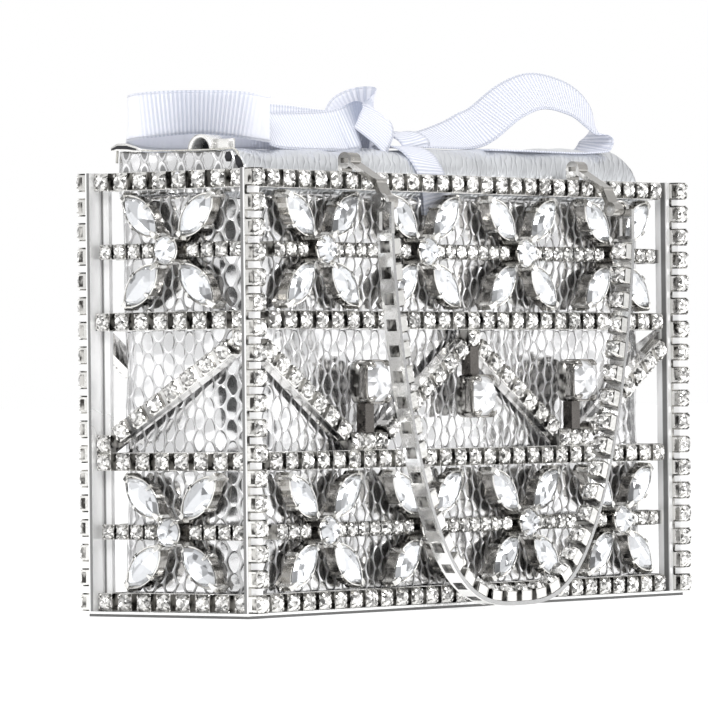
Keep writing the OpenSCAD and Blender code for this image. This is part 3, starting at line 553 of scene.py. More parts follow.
def spun(places, lift):
    """Places lifted out of the face, each turned by up to an eighth of a turn and its outward direction
    tipped by up to tip_most along each of the other two."""
    origin, axes = places
    angle = chance.uniform(0, np.pi/4, len(origin))
    c, s = np.cos(angle)[:, None], np.sin(angle)[:, None]
    first, second, out = axes[:, 0], axes[:, 1], axes[:, 2]
    tips = [chance.uniform(-1, 1, (len(origin), 1)) for _ in range(2)]
    tipped = out + tip_most*(tips[0]*first + tips[1]*second)
    return origin + lift*out, np.stack([c*first + s*second, c*second - s*first, tipped], 1)


def both(large, little, full, small):
    """Copies of a shape at the full places, and of its smaller kind at the small ones."""
    return [copies(large, full)] + ([copies(little, small)] if small else [])


# %% Bars, strips and walls behind the rows
leg_wide, leg_thick = 4.3, 1.9


def leg_bar(face, out, a, b, sign):
    """The bar under a slanted row: a block from its first stone to its last, mirrored by the sign."""
    x, z, _ = between(a, b, leg_stones)
    (x0, x1), (z0, z1) = sign*x[[0, -1]], z[[0, -1]]
    length, tilt = math.hypot(x1 - x0, z1 - z0), math.atan2(z1 - z0, x1 - x0)
    return copies(block(length, leg_wide, leg_thick, 0.25), on_face(face, out, (x0 + x1)/2, (z0 + z1)/2, tilt))


bars = {
    "zigzag": [leg_bar(face, rail_face, a, b, sign)
               for face in LONG for sign in (-1, 1) for a, b in zigzag_legs],
    "diagonal": [leg_bar(face, side_face, *side_leg, sign) for face, sign in (("left", 1), ("right", -1))],
}
strip_behind = block(long_span, 2.0, 0.6, 0.15)
more_cups = {face + "_row": [copies(strip_behind, on_face(face, rail_face, np.zeros(4), row_heights))]
             for face in LONG}
# Dark plates beside each post setting, and dark dashes between the settings on the front posts: painted shade.
panel = join(*(moved(block(2.6, 0.12, 1.2, 0.02), 0, side*cup_size[0]/2, 1.1) for side in (-1, 1)))
dash_span, dash_lines = 94.02, (-88.0, 84.8)
shade_dashes = together(*(on_face("front", post_face, x, evenly(dash_span, 17) + post_middle, np.pi/2)
                   for x in dash_lines))
more_walls = {"post": [copies(panel, post_rows), copies(block(1.66, 0.9, 0.12, 0.02), shade_dashes)]}
print("slanted bars", sum(len(made) for made in bars.values()))

# %% Settings and stones on the cage
gem_lift, little_lift = 2.65, 2.35
for name, (full, small) in groups.items():
    settings = both(cup, small_cup, full, small) + more_cups.get(name, [])
    walls = both(cup_cheeks, small_cheeks, full, small) + more_walls.get(name, [])
    stones = both(gem, little_gem, spun(full, gem_lift), small and spun(small, little_lift))
    build(name + "_settings", join(*settings), cup_metal, "cage", "cups", name + "_cups")
    # The walls between settings are dark with painted shade.
    build(name + "_between", join(*walls), deep_shade_metal, "cage", "cups")
    build(name + "_gems", join(*stones), small_gem, "cage", "stones", name + "_stones")
    if name in bars:
        build(name + "_bars", join(*bars[name]), leg_metal, "cage", "cups")

# %% [markdown]
# ## Flowers
# Each petal is a pointed stone in a cup of the same outline, held by a claw at each tip and one at
# each side. The outline is the overlap of two circles. Cutting two cylinders would give it as well,
# but as a radius for each angle it scales to every ring of the cup and of the stone.

# %% A petal
petal_long, petal_wide = 14.6, 7.2
petal_bend = (petal_long**2 + petal_wide**2)/(4*petal_wide)


def petal_ring(scale, z, count=40):
    """A ring of the overlap of two circles of radius R whose middles are R - width/2 off the petal's
    line. With n = |sin a|*(R - width/2), r(a) = sqrt(n^2 + R^2 - (R - width/2)^2) - n."""
    a = circle(count)
    off = petal_bend - petal_wide/2
    n = np.abs(np.sin(a))*off
    return polar((np.sqrt(n*n + petal_bend**2 - off**2) - n)*scale, a, z)


def petal_tube(*steps):
    """A tube through petal rings, each given as (scale, z)."""
    return tube(np.stack([petal_ring(scale, z) for scale, z in steps]))


petal_wall = petal_tube((0.93, 0), (1.0, 0.3), (1.0, 3.05), (0.95, 3.05))
petal_rim = petal_tube((0.96, 3.0), (1.01, 3.05), (1.01, 3.25), (0.975, 3.4), (0.94, 3.35), (0.92, 2.7))
tips = [turned(claw(petal_long/2 - 0.2, 4.3, 1.7, 1.5), a) for a in (0, np.pi)]
flanks = [turned(claw(petal_wide/2 + 0.1, 4.1, 1.2, 1.0), a) for a in (np.pi/2, -np.pi/2)]
petal_cup = join(petal_rim, *tips, *flanks)
petal_steps = ((0.94, -0.5, 1), (0.94, 0, 1), (0.74, 1.15, 1), (0.46, 1.75, 0.9), (0.4, 2.0, 0.04))
petal_gem = tube(np.stack([petal_ring(scale, z, 12)*[1, flat, 1] for scale, z, flat in petal_steps]))

# %% Petals round each flower
flower_places = together(
    on_faces(LONG, rail_face, *np.meshgrid(flower_columns, flower_heights)),
    on_faces(SHORT, side_face, (0, 0), flower_heights))


def petals_of(places, angles, out):
    """A place for each petal: out along the turned first direction of each flower."""
    origin, axes = places
    made = []
    for a in angles:
        c, s = math.cos(a), math.sin(a)
        first = c*axes[:, 0] + s*axes[:, 1]
        made.append((origin + out*first, np.stack([first, c*axes[:, 1] - s*axes[:, 0], axes[:, 2]], 1)))
    return together(*made)


spread, middle_gap, petal_lift = math.radians(44), 4.5, 2.9
four_ways = (spread, -spread, math.pi - spread, math.pi + spread)
petals = petals_of(flower_places, four_ways, middle_gap + petal_long/2)
build("petal_settings", copies(petal_cup, petals), cup_metal, "cage", "cups", "petal_cups")
# The petal cups' outer walls get a darker plating than their rims: painted shade.
build("petal_walls", copies(petal_wall, petals), shaded_metal, "cage", "cups")
build("petal_gems", copies(petal_gem, lifted(petals, petal_lift)), large_gem, "cage", "stones", "petal_stones")


# %% Flower middles
def round_setting(radius, depth, claws, tall, wide, tip):
    """A round cup turned from a profile of (radius share, z), with claws round its rim: the rim with
    its claws, and the wall."""
    a = circle(24)
    wall = ((0.9, 0), (1, depth*0.08), (1, depth*0.88), (0.95, depth*0.88))
    rim = ((0.97, depth*0.86), (1.01, depth*0.88), (1.01, depth*0.94),
           (0.96, depth), (0.91, depth*0.97), (0.88, depth*0.8))
    turned_wall, turned_rim = (tube(np.stack([polar(radius*share, a, z) for share, z in profile]))
                               for profile in (wall, rim))
    fingers = [turned(claw(radius - 0.1, tall, wide, tip), 2*np.pi*(k + 0.5)/claws) for k in range(claws)]
    return join(turned_rim, *fingers), turned_wall


middle_rim, middle_wall = round_setting(radius=3.5, depth=4.2, claws=4, tall=5.3, wide=1.0, tip=0.9)
middle_gem = brilliant(radius=3.15, crown=1.75, wall=0.7)
build("flower_middle_settings", copies(middle_rim, flower_places), cup_metal,
      "cage", "cups", "flower_eye_cups")
# The flower middles' walls get the same darker plating: painted shade.
build("flower_middle_walls", copies(middle_wall, flower_places), shaded_metal, "cage", "cups")
build("flower_middle_gems", copies(middle_gem, spun(flower_places, 4.2)), large_gem,
      "cage", "stones", "flower_eye_stones")

# %% [markdown]
# ## Large stones
# Three large stones with soft corners stand out on each long side. Their deep cups have two tiers and
# are seen from the side, so the cup's wall and its claws matter as much as the stone. One outline with
# an inset serves all of them, so the stone always fits its cup.

# %% The large cup and its stone
drop_wide, drop_tall = 8.6, 10.6


def cushion(inset):
    """Radius at angle a of a rounded rectangle, inset from the cup's outline: one over the fourth root
    of |cos a/w|^4 + |sin a/h|^4."""
    w, h = drop_wide/2 - inset, drop_tall/2 - inset
    return lambda a: ((np.abs(np.cos(a))/w)**4 + (np.abs(np.sin(a))/h)**4)**-0.25


def tier(*steps):
    """A tube through cushion rings, each given as (inset, z)."""
    a = circle(48)
    return tube(np.stack([polar(cushion(inset)(a), a, z) for inset, z in steps]))


lower_tier = tier((0.5, 0), (0, 0.25), (0, 2.35), (0.3, 2.5), (0.3, 2.7), (0.4, 2.75))
upper_tier = tier((0.35, 2.7), (0, 2.85), (0, 5.1), (0.12, 5.3), (0.45, 5.25), (0.5, 4.4))
corner = math.atan2(drop_tall*0.42, drop_wide*0.4)
drop_claw = moved(claw(float(cushion(0)(corner)) - 0.1, 4.4, 1.5, 0.9), 0, 0, 2.5)
drop_claws = [turned(drop_claw, sign*corner + half_turn) for half_turn in (0, np.pi) for sign in (1, -1)]
drop_gem = brilliant(radius=1.0, crown=2.1, wall=1.4, count=10, outline=cushion(0.5), table=0.62)

# %% Large stones on the long sides
drop_in, drop_lift = 14.2, 5.1
drop_heights = (high - drop_in, low + drop_in, low + drop_in)
drops = on_faces(LONG, rail_face, (0, foot, -foot), drop_heights)
drop_rim = join(upper_tier, *drop_claws)
# Both tiers of the large settings carry painted shade: the upper tier and its claws a darker plating, the lower
# tier nearly black.
build("large_settings", copies(drop_rim, drops), shaded_metal, "cage", "cups", "drop_cups", smooth=True)
build("large_walls", copies(lower_tier, drops), deep_shade_metal, "cage", "cups", smooth=True)
build("large_gems", copies(drop_gem, lifted(drops, drop_lift)), pale_gem, "cage", "stones", "drop_stones")

# %% [markdown]
# ## The handle's stones
# The band of the handle is a stretched oval, and it comes from the frame. Its stones sit on the inside
# of the band and look inwards. Spaced by angle they would crowd in the tight bends, so the band's line
# is measured and the stones stand evenly along it.

# %% Settings inside the handle
bulge_across, bulge_down = 3.0, 1.38
band_half, band_top, band_deep, band_out, stone_pitch = 48.8, 90.3, 88.8, 35.6, 6.3


def distances(line):
    """How far along a line of points each point is."""
    return np.r_[0, np.cumsum(np.linalg.norm(np.diff(line, axis=0), axis=1))]


def at(s, run, line):
    """The points of a flat line at distances s along it."""
    return np.c_[np.interp(s, run, line[:, 0]), np.interp(s, run, line[:, 1])]


t = np.linspace(0, np.pi/2, 41)
half = np.c_[band_half*np.cos(t)**(2/bulge_across), band_top - band_deep*np.sin(t)**(2/bulge_down)]
half[-1, 0] = 0
line = np.r_[half*[-1, 1], half[-2::-1]]
run = distances(line)
count = int(round(run[-1]/stone_pitch))
middle = run[-1]*(np.arange(count) + 0.5)/count
ends = [at(middle + side*cup_size[0]/2, run, line) for side in (-1, 1)]
centre, way = (ends[0] + ends[1])/2, ends[1] - ends[0]
way /= np.linalg.norm(way, axis=1)[:, None]
zero = np.zeros(count)
first = np.c_[way[:, 0], zero, way[:, 1]]
inward = np.c_[-way[:, 1], zero, way[:, 0]]
on_band = (np.c_[centre[:, 0], zero - band_out, centre[:, 1]] + 0.1*inward,
           np.stack([first, np.cross(inward, first), inward], 1))
# Behind each handle setting, a dark plate and the setting's cheeks: painted shade in the band's window.
backs = join(cup_cheeks, moved(block(3.4, 3.4, 0.1, 0.02), 0, 0, -0.08))
build("handle_settings", copies(cup, on_band), cup_metal, "handle", "cups", "handle_cups")
build("handle_gems", copies(gem, spun(on_band, gem_lift)), small_gem, "handle", "stones", "handle_stones")
build("handle_between", copies(backs, on_band), deep_shade_metal, "handle", "cups")
print("handle stones", count, "band length", round(float(run[-1]), 1), "mm")

# %% [markdown]
# ## The frame's own pieces
# Bars, posts, pins, plates and stems have the right shape already, so they stay as they were built and
# only get a finish. Most are the bright plating, and the table names those that differ.

# %% Finishes of the frame's own nodes
# The hinge brackets and the stays between petals get the darker plating of painted shade.
other_finish = {
    "base_plate": base_metal, "drop_stems": stem_metal, "hinge_pins": pin_metal, "handle_band": band_metal,
    "hinge_brackets": shaded_metal, "handle_ends": pin_metal}
other_finish.update({name: post_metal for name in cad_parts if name.startswith("post_")})
other_finish.update({name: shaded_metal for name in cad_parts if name.startswith("petal_")})
plated_nodes = tuple(part + "_" for part in (*FACES, "side", "handle"))
for name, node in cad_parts.items():
    if name in other_finish or name.startswith(plated_nodes):
        node.data.materials.clear()
        node.data.materials.append(other_finish.get(name, metal))
print("nodes with a finish of their own", sorted(other_finish))

# %% [markdown]
# ## Scaled leather
# The pouch is leather with a bright foil on it, pressed with long snake scales. Each scale is a small
# raised lens and the net between the scales is grey. Two grids of cells, one shifted by half a cell,
# give the centres, and the distance to the nearer centre gives the lens. The pattern follows an
# attribute of the mesh that holds the distance round the pouch and up it, so it never stretches.

# %% Leather finishes
def scales(shear, contrast, dull, dome, tint=(0.97, 0.97, 0.98), wide=6.2*MM, tall=5.2*MM, spots=0.0):
    """Lens-shaped scales on two staggered grids: near = (|x|/a)^1.7 + (|y|/b)^1.7 from the nearer
    centre. shear slants the rows, contrast darkens the net between scales, dome is their height, and
    spots darkens the middle of each scale of the second grid."""
    def varied(w):
        place = w.surface()
        wobble = place.noise(160.0, 1.0) - 0.5
        x, y = place.part(0) + wobble*0.0011, place.part(1) + wobble*0.0009
        x, y = (x + y*shear)/wide, y/tall

        def lens(shift):
            across, up = x + shift, y + shift
            column, row = across.maths("FLOOR"), up.maths("FLOOR")
            aside, over = abs(across - column - 0.5), abs(up - row - 0.5)
            near = (aside/0.25).maths("POWER", 1.7) + (over/0.5).maths("POWER", 1.7)
            return near, column + shift*37.0, row

        (near_a, ax, ay), (near_b, bx, by) = lens(0.0), lens(0.5)
        first = near_a < near_b
        near = near_a.maths("MINIMUM", near_b)
        seed = w.node("CombineXYZ", (first*(ax - bx) + bx, first*(ay - by) + by, 0.0))
        luck = w.node("TexWhiteNoise", {0: seed}, noise_dimensions="2D")
        raised, bulge = near.step(1.4, 0.8), (1 - near*0.6).maths("MAXIMUM", 0.0)
        crumple, grain = place.noise(55.0, 2.5), place.noise(1500.0)
        net, unspotted = raised*contrast + (1 - contrast), 1 - (1 - first)*near.step(0.6, 0.35)*spots
        # The crumple noise that bumps the leather also darkens its colour in the dents: painted shade.
        shade = net*(0.94 + luck*0.06)*unspotted*crumple.step(0.3, 0.7, 0.84, 1.0)
        height = raised*0.7 + bulge*0.5 + grain*0.05 + luck*bulge*0.5
        return {"Base Color": shade.mix(grey(0.0), grey(0.86, tint)),
                "Metallic": raised*0.5 + 0.45,
                "Roughness": raised.step(0.0, 1.0, 0.35, dull) + grain*0.04,
                "Normal": height.bump(1.0, dome, Normal=crumple.bump(1.0, 1.8*MM))}
    return varied


leather = finish("scaled_leather", scales(0.0, 0.07, 0.12, 0.16*MM))
gusset_finish = finish("gusset_leather",
                       scales(0.0, 0.08, 0.2, 0.2*MM, wide=5.6*MM, tall=4.4*MM, spots=0.65))
roll_leather = finish("rolled_leather",
                      scales(0.9, 0.08, 0.3, 0.12*MM, (0.88, 0.9, 0.93), 4.2*MM, 8.5*MM))
plain_leather = finish("plain_leather", plating(0.3, clouded(0.85)), Metallic=0.75)

# %% [markdown]
# ## Cloth and cut edges
# Where leather is cut, its warm grey fibres show. The lining is a plain weave, and the bow is a ribbed
# ribbon with a flat hem. Threads could be modelled, but at this size they would be far below a pixel,
# so sine waves on the surface's own distances drive the colour and the bump.

# %% Cut edge and plain weave
def edge_paint(w):
    """The cut edge of leather: warm grey with fine fibres."""
    fibres = w.place().noise(2500.0, 3.0)
    colour = fibres.step(0.3, 0.7).mix(grey(0.42, (1, 0.98, 0.9)), grey(0.66, (1, 0.98, 0.92)))
    return {"Base Color": colour, "Normal": fibres.bump(0.3, 0.2*MM)}


def woven(thread, dark, light):
    """Plain weave: weave = sin(2 pi x/thread)*sin(2 pi y/thread)/2 + 1/2, with uneven patches."""
    def varied(w):
        place = w.surface()
        over, under = ((place.part(axis)*(math.tau/thread)).maths("SINE") for axis in (0, 1))
        weave, patches = over*under*0.5 + 0.5, place.noise(300.0, 3.0)
        return {"Base Color": (weave*0.6 + patches*0.4).mix(dark, light),
                "Roughness": patches.step(0.2, 0.8, 0.6, 0.9),
                "Normal": weave.bump(0.6, 0.1*MM)}
    return varied


edge_finish = finish("cut_edge", edge_paint, Roughness=0.7)
lining_finish = finish("lining_cloth", woven(0.6*MM, (0.32, 0.32, 0.35, 1), (0.52, 0.52, 0.56, 1)))
# The dark cloth below is painted shade for the openings in the pouch's end.
shade_finish = finish("dark_inside", woven(0.5*MM, (0.01, 0.01, 0.012, 1), (0.03, 0.03, 0.035, 1)))

# %% Ribbed ribbon
rib_pitch, thread_pitch, hem_start, hem_end = 1.0*MM, 0.24*MM, 5.2*MM, 4.9*MM
rib_groove_shade, rib_light = (0.46, 0.49, 0.58, 1), (0.72, 0.73, 0.8, 1)
fold_blue, open_white = (0.2, 0.23, 0.33, 1), (0.72, 0.73, 0.79, 1)


def ribbed(w):
    """Ribbon with ribs across it: a rib is the upper part of a sine wave along the ribbon, crossed by
    fine threads. The last half millimetre at each edge is woven flat. The third surface number is 1
    in the shade of a fold, and -1 where the ribs fade in open light."""
    place = w.surface()
    along, over, fold = place.part(0), place.part(1), place.part(2)
    drift = place.noise(120.0) - 0.5
    rib = ((along + drift*0.0002)*(math.tau/rib_pitch)).maths("SINE").step(-0.9, 0.5)
    thread = ((over + along*0.02)*(math.tau/thread_pitch)).maths("SINE")
    hem = abs(over).step(hem_start, hem_end)
    rib = rib + (1 - rib)*fold.step(0.0, -1.0)*0.85
    shaded, open_light = fold.step(0.0, 1.0), fold.step(-0.6, -1.0)
    height = rib*hem + thread*0.03 + place.noise(2600.0)*0.08
    # The colour is darker in the grooves between ribs and a little along the hems: painted shade.
    cloth = shaded.mix((rib*0.75 + 0.25*hem).mix(rib_groove_shade, rib_light), fold_blue)
    return {"Base Color": open_light.mix(cloth, open_white),
            "Roughness": rib.step(0.0, 1.0, 0.75, 0.5),
            "Normal": height.bump(0.8, 0.25*MM)}


# A faint glow, painted light, lifts the ribbon's shaded parts as light through the thin cloth would.
ribbon_finish = finish("ribbed_ribbon", ribbed, Emission_Color=(0.8, 0.83, 0.92, 1), Emission_Strength=0.1,
                       Sheen_Weight=0.1, Sheen_Roughness=0.4, Specular_IOR_Level=0.3)

# %% [markdown]
# ## The pouch
# The pouch is sewn from soft leather, so its walls bow and dent a little and its near corner is round.
# A cloth simulation would sag it, but the cage holds it on all sides, so a few long waves are enough:
# each wall is a grid of corners, one direction round the pouch and the other up it, and its offset is
# a sum of waves with mixed directions, which gives slack without any step.

# %% The pouch's outline
pouch_left, pouch_right, pouch_half = -82.0, 78.0, 19.9
pouch_floor, pouch_rim, pouch_crest = 1.5, 100.0, 112.5
near_corner, other_corner = 13.0, 3.0
chance = np.random.default_rng(11)
wave_way = chance.uniform(0, 2*np.pi, 12)
wave_size = chance.uniform(0.09, 0.4, 12)
wave_turn = chance.uniform(0, 2*np.pi, 12)


def slack(s, z):
    """Sum of twelve sine waves over distance round s and height z, mostly between -1 and 1."""
    phase = s[..., None]*np.cos(wave_way)*wave_size + z[..., None]*np.sin(wave_way)*wave_size + wave_turn
    return np.sin(phase).sum(-1)/5


def pouch_outline(inset):
    """240 points round the pouch, counter-clockwise seen from above, with outward normals and the
    distance. Each corner is a quarter circle, and the front left one is the round one."""
    a, b = (pouch_right - pouch_left)/2 - inset, pouch_half - inset
    quarters = ((1, -1, other_corner, -0.5), (1, 1, other_corner, 0),
                (-1, 1, other_corner, 0.5), (-1, -1, near_corner, 1))
    points = []
    for sx, sy, r, start in quarters:
        r, angle = r - inset, np.pi*(start + np.linspace(0, 0.5, 9))
        points.append(np.c_[sx*(a - r) + r*np.cos(angle), sy*(b - r) + r*np.sin(angle)])
    ring = np.concatenate(points)
    closed = np.vstack([ring, ring[:1]])
    run = distances(closed)
    s = np.arange(0, run[-1], run[-1]/240)
    ring = at(s, run, closed)
    way = np.roll(ring, -1, 0) - np.roll(ring, 1, 0)
    normal = np.c_[way[:, 1], -way[:, 0]]/np.linalg.norm(way, axis=1)[:, None]
    return ring + [(pouch_left + pouch_right)/2, 0], normal, s


# %% The pouch's walls
bow_in, dent_in, dent_out, tuck_in, tuck_height = 0.5, 0.75, 0.3, 2.0, 1.2


def pouch_wall(inset, low, high, count):
    """Rings up the pouch: outline + normal*(slack - bow - tuck), and the distances round and up at
    each corner. The bow is half a sine wave from floor to rim, and the tuck fades above the floor."""
    ring, normal, s = pouch_outline(inset)
    z = np.linspace(low, high, count)
    share = (z - low)/(high - low)
    bow = -bow_in*np.sin(np.pi*share)
    fade = np.sin(np.pi*np.clip(share*1.02, 0, 1))[:, None]
    give = np.clip(0.5*slack(s[None, :], z[:, None]), -dent_in, dent_out)*fade
    out = (bow[:, None] + give)[..., None]*normal
    tuck = -tuck_in*np.exp(-(z - low)/tuck_height)[:, None, None]*normal
    flat = ring[None] + out + tuck
    height = np.broadcast_to(z[:, None], flat.shape[:2])
    return np.dstack([flat, height]), np.dstack([np.broadcast_to(s, flat.shape[:2]), height])


def mark(piece, surface, depth=0.0):
    """Stores distances over the surface, in metres, for the finishes to follow, and how deep in a fold
    each corner lies: 1 in the shade of a fold, -1 where the ribs fade in open light."""
    depth = np.broadcast_to(np.asarray(depth, float).ravel(), surface.size//2)
    values = np.c_[surface.reshape(-1, 2)*MM, depth].ravel()
    piece.data.attributes.new("surface", "FLOAT_VECTOR", "POINT").data.foreach_set("vector", values)


def pouch_layer(name, material, slot, node, outside, inside, rim, count):
    """A bag with a wall: rings up its outside and down its inside, each given as (inset, floor)."""
    (outer, outer_marks), (inner, inner_marks) = (
        pouch_wall(inset, pouch_floor + floor, rim, count) for inset, floor in (outside, inside))
    shape = tube(np.concatenate([outer, inner[::-1]]))
    layer = build(name, shape, material, "pouch", slot, node, smooth=True)
    mark(layer, np.concatenate([outer_marks, inner_marks[::-1]]))


pouch_layer("pouch_shell_leather", leather, "snake_leather", "pouch_shell",
            (0.0, 0), (1.2, 1.2), pouch_rim, 60)
pouch_layer("pouch_lining_cloth", lining_finish, "lining", "pouch_lining",
            (1.25, 1.3), (1.8, 1.9), pouch_rim - 0.2, 40)

# %% [markdown]
# ## The rolled top
# The mouth of the pouch is folded forward over the front in a soft roll. Its section is a curve from
# the back rim over the crest to the front rim, and the crest rises a little towards the right, where
# the leather is fuller. At the left it flattens into a low box. One section that changes along the
# pouch is simpler than bending a sheet, and it closes at both ends.

# %% The top's surface
def smooth(places, steps):
    """Catmull-Rom curve: a cubic through each pair of places, whose slope at a place is half the way
    from the place before it to the one after."""
    p = np.asarray(places, float)
    p = np.vstack([2*p[:1] - p[1:2], p, 2*p[-1:] - p[-2:-1]])
    a, b, c, d = (p[k:len(p) - 3 + k, None] for k in range(4))
    t = (np.arange(steps)/steps)[None, :, None]
    curve = (2*b + (c - a)*t + (2*a - 5*b + 4*c - d)*t**2 + (3*b - a - 3*c + d)*t**3)/2
    return np.vstack([curve.reshape(-1, p.shape[1]), p[-2:-1]])


box_end = np.array([
    [19.9, 0], [19.8, 5], [19.6, 9.8], [18.4, 10.8], [9, 10.3], [0, 10.1],
    [-8, 10], [-13, 10], [-16.4, 9.9], [-18, 7.4], [-19.5, 4.6], [-19.9, 0]])
roll_knots = np.array([
    [19.9, 0, 0], [19.8, 5, 0], [19.2, 10.4, 0], [16.4, 11.5, 0.4], [9, 12, 0.8], [0, 12.3, 1],
    [-7, 12.3, 1], [-12, 11.4, 0.9], [-15.8, 9.5, 0.7], [-18.4, 6.6, 0.4], [-19.6, 3.2, 0.1], [-19.9, 0, 0]])


def top_section(x):
    """Section of the top at x: points (y, z) from the back rim over the crest to the front rim. The
    crest rises evenly to the right, by the third number of roll_knots, and over the last 14 mm at the
    left the section blends into box_end."""
    rise = 4.0*np.clip((x - pouch_left)/(pouch_right - pouch_left), 0, 1) - 2.0
    low = np.clip((pouch_left + 14 - x)/14, 0, 1)
    low = low*low*(3 - 2*low)
    full = np.c_[roll_knots[:, 0], roll_knots[:, 1] + roll_knots[:, 2]*rise]
    return smooth(full*(1 - low) + box_end*low + [0, pouch_rim], 4)


edge_in = np.array([0, 0.15, 0.6, 1.5])
edge_fall = np.array([0.955, 0.975, 0.993, 1])
x = np.r_[pouch_left + edge_in, np.linspace(pouch_left, pouch_right, 98)[2:-2], pouch_right - edge_in[::-1]]
shrink = np.r_[edge_fall, np.ones(len(x) - 8), edge_fall[::-1]]
centre = np.array([0, pouch_rim])
sections = centre + (np.stack([top_section(v) for v in x]) - centre)*shrink[:, None, None]
run = np.cumsum(np.linalg.norm(np.diff(sections, axis=1, prepend=sections[:, :1]), axis=2), axis=1)
along_x = np.broadcast_to(x[:, None], run.shape)
dents = 0.5*slack(along_x*1.4, run*1.6)*np.sin(np.pi*run/run[:, -1:])
sections[..., 1] += dents*(np.abs(sections[..., 0]) < 17)
rolled = build("pouch_top_leather", tube(np.dstack([along_x, sections])), roll_leather,
               "pouch", "snake_leather", "pouch_top", smooth=True)
mark(rolled, np.dstack([along_x, run]))

# %% [markdown]
# ## Small leather details at the left end
# The left end is closed by a gusset of scaled leather whose cut edge follows the top's section. A
# keeper, a low arch with a tab, stands near the front, and a lip stands over a slit at the back corner.
# The slit, a hole and a slot in the end and the inside of the arch are dark strips of painted shade.
# All but the gusset are strips carried along a line.

# %% Strips along a line
def strip(line, lean, width, thick, across, bow=0.0):
    """A closed strip: corner = place + side*v + face*(bow*(1 - (2v/width)^2) +- thick/2). The side is
    the lean made square to the line, and the face is the line's direction crossed with the side.
    width may change along the line."""
    way = np.gradient(line, axis=0)
    way /= np.linalg.norm(way, axis=1)[:, None]
    side = lean - (lean*way).sum(1)[:, None]*way
    side /= np.linalg.norm(side, axis=1)[:, None]
    face = np.cross(way, side)
    width = np.broadcast_to(np.asarray(width, float), len(line))[:, None]
    v = np.linspace(0.5, -0.5, across + 1)[None]*width
    arch = bow*(1 - (2*v/width)**2)
    flat = line[:, None] + side[:, None]*v[..., None]
    upper, lower = (flat + face[:, None]*(arch + h)[..., None] for h in (thick/2, -thick/2))
    marks = np.dstack([np.broadcast_to(distances(line)[:, None], v.shape), v])
    return np.concatenate([upper, lower[:, ::-1]], 1), np.concatenate([marks, marks[:, ::-1]], 1)


def strips(name, material, slot, parts, *nodes, depth=0.0):
    """One piece on the pouch made of several strips, with their distances marked."""
    shape = join(*(tube(rings) for rings, marks in parts))
    piece = build(name, shape, material, "pouch", slot, *nodes, smooth=True)
    mark(piece, np.concatenate([marks.reshape(-1, 2) for rings, marks in parts]), depth)
    return piece


# %% Gusset, keeper and lip
profile = top_section(pouch_left)
edge = np.c_[np.full(len(profile) - 12, pouch_left - 0.15), profile[6:-6] + [0, 0.25]]
turn_in = np.linspace(0, np.pi, 17)
arch_line = np.c_[np.full(17, pouch_left + 2.6), -5.8 - 3.3*np.cos(turn_in), 110.2 + 3.4*np.sin(turn_in)]
tab_line = np.array([[pouch_left + 0.6, y, 111.4] for y in (-9.6, -11.6, -13.6, -15.6)])
lip_line = np.array([[pouch_left - 0.5, y, z] for y, z in
                     ((21.2, 111.2), (19.4, 111.7), (16.6, 111.6), (13.6, 111.0), (11.6, 110.6))])
flat_x, leaning = np.array([1.0, 0, 0]), np.array([0.3, 0, 1.0])
strips("pouch_gusset_edge", edge_finish, "snake_leather", [strip(edge, flat_x, 0.5, 0.35, 2)])
strips("pouch_keeper_arch", plain_leather, "snake_leather", [
    strip(arch_line, flat_x, 5.6, 0.8, 4),
    strip(tab_line, np.array([0.0, 0, 1]), 2.6, 0.8, 4),
    strip(lip_line, leaning, (0.8, 1.7, 1.9, 1.4, 0.5), 0.3, 4)], "pouch_keeper")

gusset_middle = np.array([0.5, 104.6])
gusset_steps = ((0.95, 0.3), (0.965, 0.0), (0.955, -0.12), (0.8, -0.2),
                (0.6, -0.1), (0.4, -0.2), (0.2, -0.1), (0.05, -0.15))
from_middle = profile - gusset_middle
rings = np.stack([np.c_[np.full(len(profile), pouch_left + out), gusset_middle + from_middle*share]
                  for share, out in gusset_steps])
gusset = build("pouch_gusset_leather", tube(rings), gusset_finish, "pouch", "snake_leather", smooth=True)
mark(gusset, rings[..., 1:])

# %% Painted shade in the openings of the end
gap_x = pouch_left - 0.35
inside_arch = np.array([[pouch_left + 4.4, -5.8, 110.2 + k] for k in (0.0, 1.2, 2.4, 3.0)])
slit_line = lip_line[:4] + [-0.3, -0.3, 0]
hole_line = np.array([[gap_x, -14.6, z] for z in (109.6, 108.4, 107.3)])
slot_line = np.array([[gap_x, y, z] for y, z in ((-16.9, 108.7), (-17.8, 107.0), (-18.7, 105.3))])
# Each of these strips is painted shade: inside the arch, in the slit, the hole and the slot.
strips("pouch_end_openings", shade_finish, "snake_leather", [
    strip(inside_arch, np.array([0.0, 1, 0]), (6.2, 6.0, 4.2, 2.4), 0.2, 4),
    strip(slit_line, leaning, (0.3, 0.8, 0.8, 0.3), 0.15, 4),
    strip(hole_line, np.array([0.0, 1, 0]), (1.2, 2.2, 1.2), 0.15, 4),
    strip(slot_line, np.array([0.0, 0.9, 0.45]), (1.0, 1.9, 1.3), 0.15, 4)])

# %% [markdown]
# ## The ribbon
# The bow is one ribbon, 11 mm wide. The left loop stands on its edge, the right loop rises in an arch
# and comes back flat, and the tail runs over the roll and hangs in front of the pouch. A simulated
# ribbon would find folds of its own, and these folds are known. So each part is a strip along a smooth
# curve through a few places, with a direction at each place for its width to lean in.

# %% Ribbon strips
ribbon_wide, ribbon_thick, ribbon_steps = 11.0, 0.4, 8
rest = pouch_crest + 0.3


